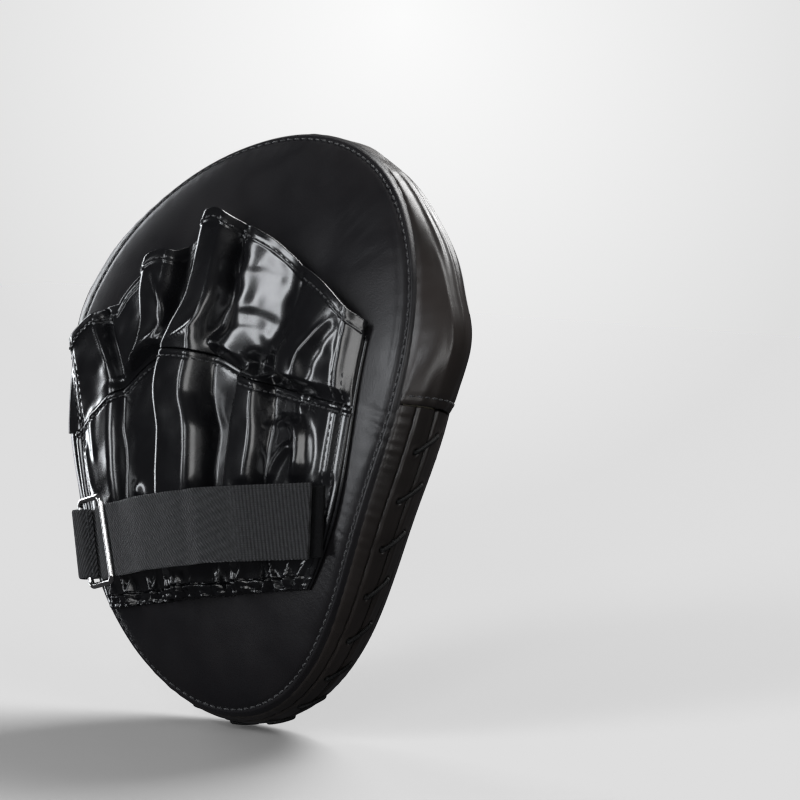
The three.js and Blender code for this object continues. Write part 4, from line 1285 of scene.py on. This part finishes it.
def finger_lift(x, z, from_hem):
    """Lift of the finger cover's outer surface over the pad."""
    lift = form_height(FINGER_SHEET, x, z)
    lift = lift - sum(ridge(x, z, line, width, depth, 0.12) for line, width, depth in FINGER_TRENCHES)
    stalls = join_folds([fold(x, z, knots) for knots in FINGER_FOLDS])
    lift = join_folds([np.clip(lift, 1.0, 25), stalls], 9)
    above_seam = z - mid_seam_z(x)
    foot = smoothstep(above_seam, 0, 7)
    hand = hand_lift(x, z) - COVER_LIFT - COVER_THICKNESS
    lift = lift * foot + hand * (1 - foot)
    creases = sum(ridge(x, z, line, width, height) for line, width, height in FINGER_CREASES)
    near = np.minimum(x - left_seam_x(z), right_seam_x(z) - x)
    settle = smoothstep(near, -1, 6)
    hem = 0.8 * (1 - smoothstep(from_hem, *STALL_HEM)) - 0.35 * bump(from_hem, 4.1, 0.8)
    small = 0.22 * ripple(x, z, 10, 15)
    seam = -0.4 * bump(near, SIDE_ROWS[0], 0.9) - 0.35 * bump(near, SIDE_ROWS[1], 0.8)
    return COVER_LIFT + COVER_THICKNESS + (lift + creases * foot) * settle + hem + small + seam * (near < 12)


def finger_surface(u, v):
    top_x, top_z, foot_x, foot_z = finger_column(u)
    x = foot_x + v * (top_x - foot_x)
    z = foot_z + v * (top_z - foot_z)
    from_hem = np.hypot(top_x - x, top_z - z)
    return x, z, finger_lift(x, z, from_hem)


def build_finger_cover():
    rows, columns = 320, 130
    u, v = unit_grid(rows, columns)
    x, z, lift = finger_surface(u, v)
    cx, cz, coarse_lift = finger_surface(*unit_grid(80, 33))
    coarse = on_hand_side(cx, cz, coarse_lift)
    pinned = np.zeros(coarse.shape[:2], bool)
    pinned[:2] = pinned[-2:] = True
    pinned[:, :2] = pinned[:, -1:] = True
    for divider in range(1, 5):
        pinned[16 * divider - 1:16 * divider + 1, 12:] = True
    moved = refine(relax(coarse, pinned, *COVER_CLOTH), rows, columns)
    outer = on_hand_side(x, z, lift) + moved
    inner = outer.copy()
    inner[..., 1] += COVER_THICKNESS + FOLDED_HEM * (v > 0.94)
    finish_piece(shell("finger_cover_skin", outer, inner), GLOSS, "gloss_leather", "pad", "finger_cover")
    for stall, finger in enumerate(("little", "ring", "middle", "index", "thumb")):
        around = (stall + np.linspace(0.08, 0.92, 80)) / len(STALL_RISE)
        top_x, top_z, foot_x, foot_z = finger_column(around)
        share = 1 - STALL_STITCH_EDGE / np.hypot(top_x - foot_x, top_z - foot_z)
        line = sample_grid(outer, around * (rows - 1), share * (columns - 1))
        place_stitches(f"hem_stitches_{finger}", line, outer_normals(line), 3.3, 2.4, f"hem_thread_{finger}")


def sample_grid(grid, row, column):
    """Points of a grid at fractional rows and columns."""
    r0, c0 = np.floor(row).astype(int), np.floor(column).astype(int)
    r1, c1 = np.minimum(r0 + 1, grid.shape[0] - 1), np.minimum(c0 + 1, grid.shape[1] - 1)
    fr, fc = (row - r0)[:, None], (column - c0)[:, None]
    top = grid[r0, c0] * (1 - fc) + grid[r0, c1] * fc
    low = grid[r1, c0] * (1 - fc) + grid[r1, c1] * fc
    return top * (1 - fr) + low * fr


def outer_normals(line):
    """Normals for stitches on the hand side: across the line, away from the pad."""
    tangent = np.gradient(line, axis=0)
    tangent /= np.linalg.norm(tangent, axis=1)[:, None]
    out = np.tile((0.0, -1.0, 0.0), (len(line), 1))
    out -= tangent * np.sum(out * tangent, 1)[:, None]
    return out / np.linalg.norm(out, axis=1)[:, None]


def place_stitches(name, line, normal, spacing, length, *nodes):
    line = line + normal * 0.16
    centre, tangent, up = spread(line, normal, spacing)
    row = stitches(name, centre, tangent, up, length, 0.34, len(name))
    finish_piece(row, THREAD, "thread", "pad", *nodes)


def build_glove_base():
    u, v = unit_grid(90, 70)
    top_x, top_z, _, _ = finger_column(u)
    foot_x = glove_x(u, -75.0, 0.5)
    foot_z = strap_line_z(foot_x, HEM_BOTTOM_Q)
    z = foot_z + v * (top_z - 7 - foot_z)
    x = glove_x(u, np.minimum(z, 22), 0.5) * (1 - v * v) + (top_x + 0.5 * (2 * u - 1)) * v * v
    outer = on_hand_side(x, z, 1.35 + 0.12 * ripple(x, z, 14, 4))
    inner = on_hand_side(x, z, 0.45)
    finish_piece(shell("glove_lining", outer, inner), GLOSS, "gloss_leather", "pad", "glove_base")


def build_glove_stitches():
    for side, word, top, bottom in ((-1, "left", 18, -46), (1, "right", 20, -40)):
        lines = []
        for inset in SIDE_ROWS:
            z = np.linspace(top, bottom, 120)
            x = left_seam_x(z) + inset if side < 0 else right_seam_x(z) - inset
            above = z > mid_seam_z(x)
            lift = np.where(above, finger_lift(x, z, np.full_like(z, 30)), hand_lift(x, z))
            lines.append(on_hand_side(x, z, lift))
        parts = [spread(line + outer_normals(line) * 0.16, outer_normals(line), 3.2) for line in lines]
        centre, tangent, up = (np.vstack([part[k] for part in parts]) for k in range(3))
        row = stitches(f"glove_stitches_{word}", centre, tangent, up, length=2.3, radius=0.33, seed=41 + side)
        finish_piece(row, THREAD, "thread", "pad", f"glove_thread_{word}")
    x = np.linspace(-74, 73, 400)
    z = mid_seam_z(x) - 3
    line = on_hand_side(x, z, hand_lift(x, z) - 0.3)
    place_stitches("mid_seam_stitches", line, outer_normals(line), 3.3, 2.4, "mid_seam_thread")


HEM_LENGTH = 150  # of the hem's lower edge, near enough for ripples


def build_gathered_hem():
    """The elastic wrist hem: cover leather bunched into uneven pleats below the strap."""
    rows, columns = 640, 34
    u, v = unit_grid(rows, columns)
    z = np.full((rows, columns), -75.0)
    along = u * HEM_LENGTH
    low = HEM_BOTTOM_Q - 0.3 + 0.7 * wave(along, 9, 31) + 0.3 * wave(along, 4, 33)
    for _ in range(6):
        z = strap_line_z(glove_x(u, z), low + v * (HEM_TOP_Q + 3.2 - low))
    x = glove_x(u, z)
    near = np.minimum(x - left_seam_x(z), right_seam_x(z) - x)
    settle = smoothstep(near, -0.5, 6)
    crumple = 1.5 * ripple(x, z * 0.8, 4.2, 23) + 0.7 * ripple(x, z, 2.4, 29)
    folds = wave(x + 1.2 * ripple(x, z, 9, 3), 5.0, 9)
    rough = (crumple + 0.9 * folds) * (1 - smoothstep(v, 0.12, 0.5))
    under_cover = 1.4 * smoothstep(v, 0.52, 0.66)
    lift = hand_lift(x, z) * (0.86 + 0.14 * smoothstep(v, 0, 0.5)) - under_cover
    lift = np.maximum(lift + rough * (0.5 + 0.5 * settle), 2.3)
    outer = on_hand_side(x, z, lift)
    inner = on_hand_side(x, z, np.maximum(lift - 2.2, 1.6))
    finish_piece(shell("gathered_hem", outer, inner), GLOSS, "gloss_leather", "pad", "elastic_hem")


# ---------------------------------------------------------------- strap, patches, keeper and ring

def strap_xz(s, q):
    x = s * math.cos(STRAP_TILT) - q * math.sin(STRAP_TILT)
    return x, STRAP_ORIGIN_Z + s * math.sin(STRAP_TILT) + q * math.cos(STRAP_TILT)


def band_level(s):
    """Y of a flat-lying band on the strap's line that just clears the CAD cover at every q."""
    best = np.full(np.shape(s), np.inf)
    for share in np.linspace(-1, 1, 9):
        x, z = strap_xz(s, STRAP_HALF * share)
        cover = hand_surface_y(x, z) - cover_lift(x, z) - COVER_THICKNESS
        best = np.minimum(best, cover - STRAP_LEAN * STRAP_HALF * share)
    return best


LEVEL_S = np.linspace(-75, 80, 311)
LEVEL_Y = band_level(LEVEL_S)
LEVEL_Y = np.convolve(np.pad(LEVEL_Y, 12, mode="edge"), np.hanning(27)[1:-1] / np.hanning(27).sum(), "valid")


def band_point(s, q, lift):
    s, q, lift = np.broadcast_arrays(s, q, lift)
    x, z = strap_xz(s, q)
    return np.stack([x, np.interp(s, LEVEL_S, LEVEL_Y) - lift + STRAP_LEAN * q, z], -1)


def strap_lift(s):
    over_keeper = GAP + KEEPER_THICKNESS + LAYER_GAP
    over_patch = GAP + LOOP_THICKNESS + LAYER_GAP + HOOK_THICKNESS + LAYER_GAP
    left = 1 - smoothstep(s, *ROOT_RAMP)
    right = smoothstep(s, *PATCH_RAMP)
    slack = 0.7 * bump(s, -18, 9) + 0.5 * bump(s, 6, 7)
    return GAP + left * (over_keeper - GAP) + right * (over_patch - GAP) + slack


BAND_SHARP = math.radians(50)  # edges turning more than this stay crisp


def build_band(name, start, end, half, rows, columns, lift_at, thickness, shear=0.0, selvage=0.0):
    """A flat band with rounded long edges; its UV is (s, q) in millimetres."""
    u = np.linspace(0, 1, rows)[:, None]
    q = np.linspace(-1, 1, columns)[None, :] * half
    s = start + u * (end + shear * q - start)
    edge = half - np.abs(q)
    round_off = 0.35 * thickness * np.exp(-(edge / 0.35) ** 2)
    lip = selvage * bump(edge, 0.9, 0.5)
    lift = lift_at(s)
    outer = band_point(s, q, lift + thickness - round_off + lip)
    inner = band_point(s, q, lift + round_off)
    uv = np.stack(np.broadcast_arrays(s, q), -1)
    band = shell(name, outer, inner, uv=uv)
    band.data.set_sharp_from_angle(angle=BAND_SHARP)
    return band


STRAP_SPLIT_S = -14  # where the two drawn halves of the strap meet, in the middle of strap_inner


def build_strap():
    root = build_band("strap_ring_half", ROOT_START, STRAP_SPLIT_S, STRAP_HALF, 150, 44, strap_lift, WEBBING,
                      selvage=0.12)
    tip = build_band("strap_free_half", STRAP_SPLIT_S, STRAP_TIP, STRAP_HALF, 260, 44, strap_lift, WEBBING,
                     shear=END_SHEAR, selvage=0.12)
    finish_piece(root, WEB, "webbing", None, "strap_root", "strap_inner")
    finish_piece(tip, WEB, "webbing", None, "strap_end")
    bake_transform(root)
    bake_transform(tip)

    loops = build_band("loop_tape", LOOP_START, LOOP_END, LOOP_HALF, 120, 60, lambda s: GAP + 0 * s,
                       LOOP_THICKNESS, shear=END_SHEAR)
    finish_piece(loops, LOOPS, "hook_and_loop", "pad", "loop_patch")
    hook_lift = GAP + LOOP_THICKNESS + LAYER_GAP
    hooks = build_band("hook_tape", HOOK_START, HOOK_END, HOOK_HALF, 80, 40, lambda s: hook_lift + 0 * s,
                       HOOK_THICKNESS)
    finish_piece(hooks, HOOKS, "hook_and_loop", "strap_end", "hook_patch")


def keeper_path():
    """The keeper's outer face as (s, lift): in along the bottom, round the fold and back on top."""
    bottom = GAP
    middle = GAP + KEEPER_THICKNESS + KEEPER_ROOM / 2
    radius = KEEPER_ROOM / 2 + KEEPER_THICKNESS
    path = [(KEEPER_END_S, bottom), ((KEEPER_END_S + ROOT_START) / 2, bottom), (ROOT_START, bottom),
            (KEEPER_FOLD_S + radius, bottom)]
    for turn in np.linspace(0, math.pi, 9)[1:-1]:
        path.append((KEEPER_FOLD_S + radius - radius * math.sin(turn), middle - radius * math.cos(turn)))
    path.append((KEEPER_FOLD_S + radius, middle + radius))
    path.append((OUTER_BAR_S + PAST_BAR, middle + radius))
    path.append((KEEPER_RETURN_S, bottom + 2 * KEEPER_THICKNESS + LAYER_GAP))
    return path


def keeper_point(s, q, lift):
    s, q, lift = np.broadcast_arrays(s, q, lift)
    x, z = strap_xz(s, q)
    level = np.interp(np.maximum(s, ROOT_START), LEVEL_S, LEVEL_Y)
    return np.stack([x, level - lift + STRAP_LEAN * q, z], -1)


def build_keeper():
    path = spline(keeper_path(), 110)
    tangent = np.gradient(path, axis=0)
    tangent /= np.linalg.norm(tangent, axis=1)[:, None]
    inward = np.stack([tangent[:, 1], -tangent[:, 0]], -1)
    q = np.linspace(-1, 1, 40)[None, :] * KEEPER_HALF
    edge = KEEPER_HALF - np.abs(q)
    inset = 0.3 * KEEPER_THICKNESS * np.exp(-(edge / 0.35) ** 2)
    outer = keeper_point(path[:, :1] + inward[:, :1] * inset, q, path[:, 1:] + inward[:, 1:] * inset)
    deep = KEEPER_THICKNESS - inset
    inner = keeper_point(path[:, :1] + inward[:, :1] * deep, q, path[:, 1:] + inward[:, 1:] * deep)
    length = np.concatenate([[0], np.cumsum(np.linalg.norm(np.diff(path, axis=0), axis=1))])
    uv = np.stack(np.broadcast_arrays(-length[:, None] - 10, q), -1)
    finish_piece(shell("ring_tab", outer, inner, uv=uv), WEB, "webbing", "pad", "ring_keeper")
    (s0, l0), (s1, l1) = keeper_path()[-2:]
    s = s1 - 1.6
    face = l1 + (l0 - l1) * (s - s1) / (s0 - s1)
    q = np.linspace(-13.2, 13.2, 60)
    line = keeper_point(np.full(60, s), q, np.full(60, face))
    place_stitches("keeper_stitches", line, outer_normals(line), 2.6, 2.0, "keeper_thread")


def build_ring():
    """The wire ring, on the middle line of the CAD ring."""
    points = node_points("buckle_ring")
    centre = points.mean(0)
    _, _, axes = np.linalg.svd(points - centre, full_matrices=False)
    long_axis, short_axis = axes[0], axes[1]
    a, b = (points - centre) @ short_axis, (points - centre) @ long_axis
    half_width = (a.max() - a.min()) / 2 - WIRE_RADIUS
    half_length = (b.max() - b.min()) / 2 - WIRE_RADIUS
    middle = centre + short_axis * (a.max() + a.min()) / 2 + long_axis * (b.max() + b.min()) / 2
    turn = np.linspace(0, 2 * math.pi, 96, endpoint=False)
    round_part = np.stack([np.cos(turn), np.sin(turn)], -1)
    straight_part = np.array([half_width, half_length]) - RING_CORNER
    outline = np.copysign(straight_part, round_part) + RING_CORNER * round_part
    dense = []
    for start, end in zip(outline, np.roll(outline, -1, 0)):
        count = max(1, int(np.linalg.norm(end - start) / 0.8))
        dense += [start + (end - start) * t / count for t in range(count)]
    dense = np.array(dense)
    line = middle + dense[:, :1] * short_axis + dense[:, 1:] * long_axis
    wire = tube("wire_ring", line, WIRE_RADIUS, 20, closed=True)
    finish_piece(wire, CHROME, "chrome", "ring", "buckle_ring")


# ---------------------------------------------------------------- the hidden filling

FOAM_CLEARANCE = 0.5  # extra room between the foam and the settled leather
FACE_MATCH = 2.0  # foam points this close to their face belong to it


def build_foam(name, node, color, pore, side):
    """A foam slab cut down to its face's rolled rim; side is -1 striking, +1 hand, 0 neither."""
    source = NODES[node]
    points = node_points(node)
    mesh = source.data.copy()
    mesh.name = name
    radius = np.hypot(points[:, 0], points[:, 2])
    angle = np.arctan2(points[:, 0], points[:, 2])
    rho = radius / reach(angle)
    if side:
        face = hand_seam_y(points[:, 2]) - hand_crown(rho) + SEAM_MARGIN
        if side < 0:
            face = strike_seam_y(points[:, 2]) + strike_crown(rho) - SEAM_MARGIN
        cut = RIM_SINK * np.exp(-(1 - rho) * reach(angle) / RIM_SINK_REACH) + FOAM_CLEARANCE
        points[:, 1] += side * cut * (np.abs(points[:, 1] - face) < FACE_MATCH)
    mesh.vertices.foreach_set("co", (points * MM).ravel())
    mesh.update()
    obj = bpy.data.objects.new(name, mesh)
    bpy.context.scene.collection.objects.link(obj)
    finish_piece(obj, foam(node, color, pore), node, "pad", node)


# ---------------------------------------------------------------- studio

FLOOR_UP = (0.013, -0.2214, 0.975)  # the floor lies level in the picture, seen from a few degrees above
FLOOR_HALF_M = 1.6
FLOOR_GAP_M = 0.001  # the floor lies this far under the mitt's lowest point
LOWEST_NODES = ("strike_panel", "back_panel", "lace_cord")


def area_light(name, towards, distance, width, height, power, color):
    """A softbox in the direction towards, facing the mitt; sizes and distance in metres."""
    data = bpy.data.lights.new(name, "AREA")
    data.shape = "RECTANGLE"
    data.size, data.size_y = width, height
    data.energy = power
    data.color = color
    light = bpy.data.objects.new(name, data)
    direction = Vector(towards).normalized()
    light.location = direction * distance
    light.rotation_euler = direction.to_track_quat("Z", "Y").to_euler()
    light.visible_camera = False
    bpy.context.scene.collection.objects.link(light)


COOL, PLAIN = (0.93, 0.96, 1.0), (1, 1, 1)
# name, direction, distance, width and height in metres, watts and colour
LIGHTS = (
    ("key_softbox", (-0.14, -0.98, 0.10), 1.5, 0.42, 1.3, 16, COOL),
    ("back_softbox", (-0.97, 0.15, 0.10), 1.4, 0.42, 1.3, 11, COOL),
    ("right_softbox", (0.96, -0.28, 0.12), 1.5, 0.40, 1.2, 6, PLAIN),
    ("top_softbox", (0.12, 0.48, 0.87), 1.3, 0.9, 0.7, 28, PLAIN),
    ("front_fill", (0.47, -0.88, 0.06), 1.9, 0.30, 1.2, 9, COOL),
)
# the backdrop is a glow in the picture: its middle as shares of width and height, its reach and two levels
GLOW_CENTRE, GLOW_REACH = (0.5, 0.98, 0), 0.62
GLOW_LEVELS = (0.97, 0.73)
ROOM_LIGHT = (0.038, 0.038, 0.041, 1)  # what lights the mitt from everywhere else


def build_world():
    world = bpy.data.worlds.new("studio")
    world.use_nodes = True
    tree = world.node_tree
    tree.nodes.clear()
    output = tree.nodes.new("ShaderNodeOutputWorld")
    place = tree.nodes.new("ShaderNodeTexCoord")
    away = tree.nodes.new("ShaderNodeVectorMath")
    away.operation = "DISTANCE"
    away.inputs[1].default_value = GLOW_CENTRE
    tree.links.new(place.outputs["Window"], away.inputs[0])
    shade = tree.nodes.new("ShaderNodeMapRange")
    shade.inputs["From Max"].default_value = GLOW_REACH
    shade.inputs["To Min"].default_value, shade.inputs["To Max"].default_value = GLOW_LEVELS
    tree.links.new(away.outputs["Value"], shade.inputs["Value"])
    seen = tree.nodes.new("ShaderNodeBackground")
    tree.links.new(shade.outputs["Result"], seen.inputs["Color"])
    lit = tree.nodes.new("ShaderNodeBackground")
    lit.inputs["Color"].default_value = ROOM_LIGHT
    path = tree.nodes.new("ShaderNodeLightPath")
    mix = tree.nodes.new("ShaderNodeMixShader")
    tree.links.new(path.outputs["Is Camera Ray"], mix.inputs["Fac"])
    tree.links.new(lit.outputs[0], mix.inputs[1])
    tree.links.new(seen.outputs[0], mix.inputs[2])
    tree.links.new(mix.outputs[0], output.inputs["Surface"])
    bpy.context.scene.world = world


def build_floor():
    up = Vector(FLOOR_UP).normalized()
    lowest = min((node_points(node) @ np.array(up)).min() for node in LOWEST_NODES) * MM
    corners = [(x * FLOOR_HALF_M, y * FLOOR_HALF_M, 0) for x, y in ((-1, -1), (1, -1), (1, 1), (-1, 1))]
    mesh = bpy.data.meshes.new("floor")
    mesh.from_pydata(corners, [], [(0, 1, 2, 3)])
    floor = bpy.data.objects.new("floor", mesh)
    floor.rotation_euler = up.to_track_quat("Z", "Y").to_euler()
    floor.location = up * (lowest - FLOOR_GAP_M)
    bpy.context.scene.collection.objects.link(floor)
    floor.is_shadow_catcher = True
    floor.visible_glossy = False
    floor.visible_diffuse = False
    s = Shader("floor", (0.8, 0.8, 0.8), 0.8)
    s.relief(s.noise(40, 3), 0.1, 0.5)
    mesh.materials.append(s.material)


CAMERA_PLACE_M = (1.0377, -1.1774, -0.0815)
CAMERA_FORWARD = (-0.6686, 0.7418, 0.0525)
CAMERA_RIGHT = (0.7405, 0.6575, 0.1395)
AIM_RIGHT, AIM_UP = 0.0402, 0.00485
LENS = 162


def build_camera():
    forward = Vector(CAMERA_FORWARD).normalized()
    right = Vector(CAMERA_RIGHT).normalized()
    up = right.cross(forward).normalized()
    aim = (forward + right * AIM_RIGHT + up * AIM_UP).normalized()
    right = aim.cross(up).normalized()
    up = right.cross(aim)
    data = bpy.data.cameras.new("camera")
    data.lens = LENS
    data.sensor_width = 36
    data.clip_start = 0.05
    camera = bpy.data.objects.new("camera", data)
    rotation = Matrix((right, up, -aim)).transposed()
    camera.matrix_world = Matrix.Translation(CAMERA_PLACE_M) @ rotation.to_4x4()
    bpy.context.scene.collection.objects.link(camera)
    bpy.context.scene.camera = camera


build_face("strike_face", -1, "strike_panel", "strike_stitches", "strike_seam_thread")
build_face("hand_face", 1, "back_panel", "hand_stitches", "back_seam_thread")
build_crown()
build_laced_wall()
build_hand_cover()
build_finger_cover()
build_glove_base()
build_glove_stitches()
build_gathered_hem()
build_strap()
build_keeper()
build_ring()
for node, color, pore, side in (
    ("strike_foam", (0.05, 0.05, 0.053), 900, -1),
    ("core_foam", (0.48, 0.44, 0.33), 500, 0),
    ("backing_foam", (0.07, 0.07, 0.075), 1200, 1),
):
    build_foam(f"{node}_block", node, color, pore, side)
for light in LIGHTS:
    area_light(*light)
build_world()
build_floor()
build_camera()
bpy.context.scene.view_settings.view_transform = "Standard"
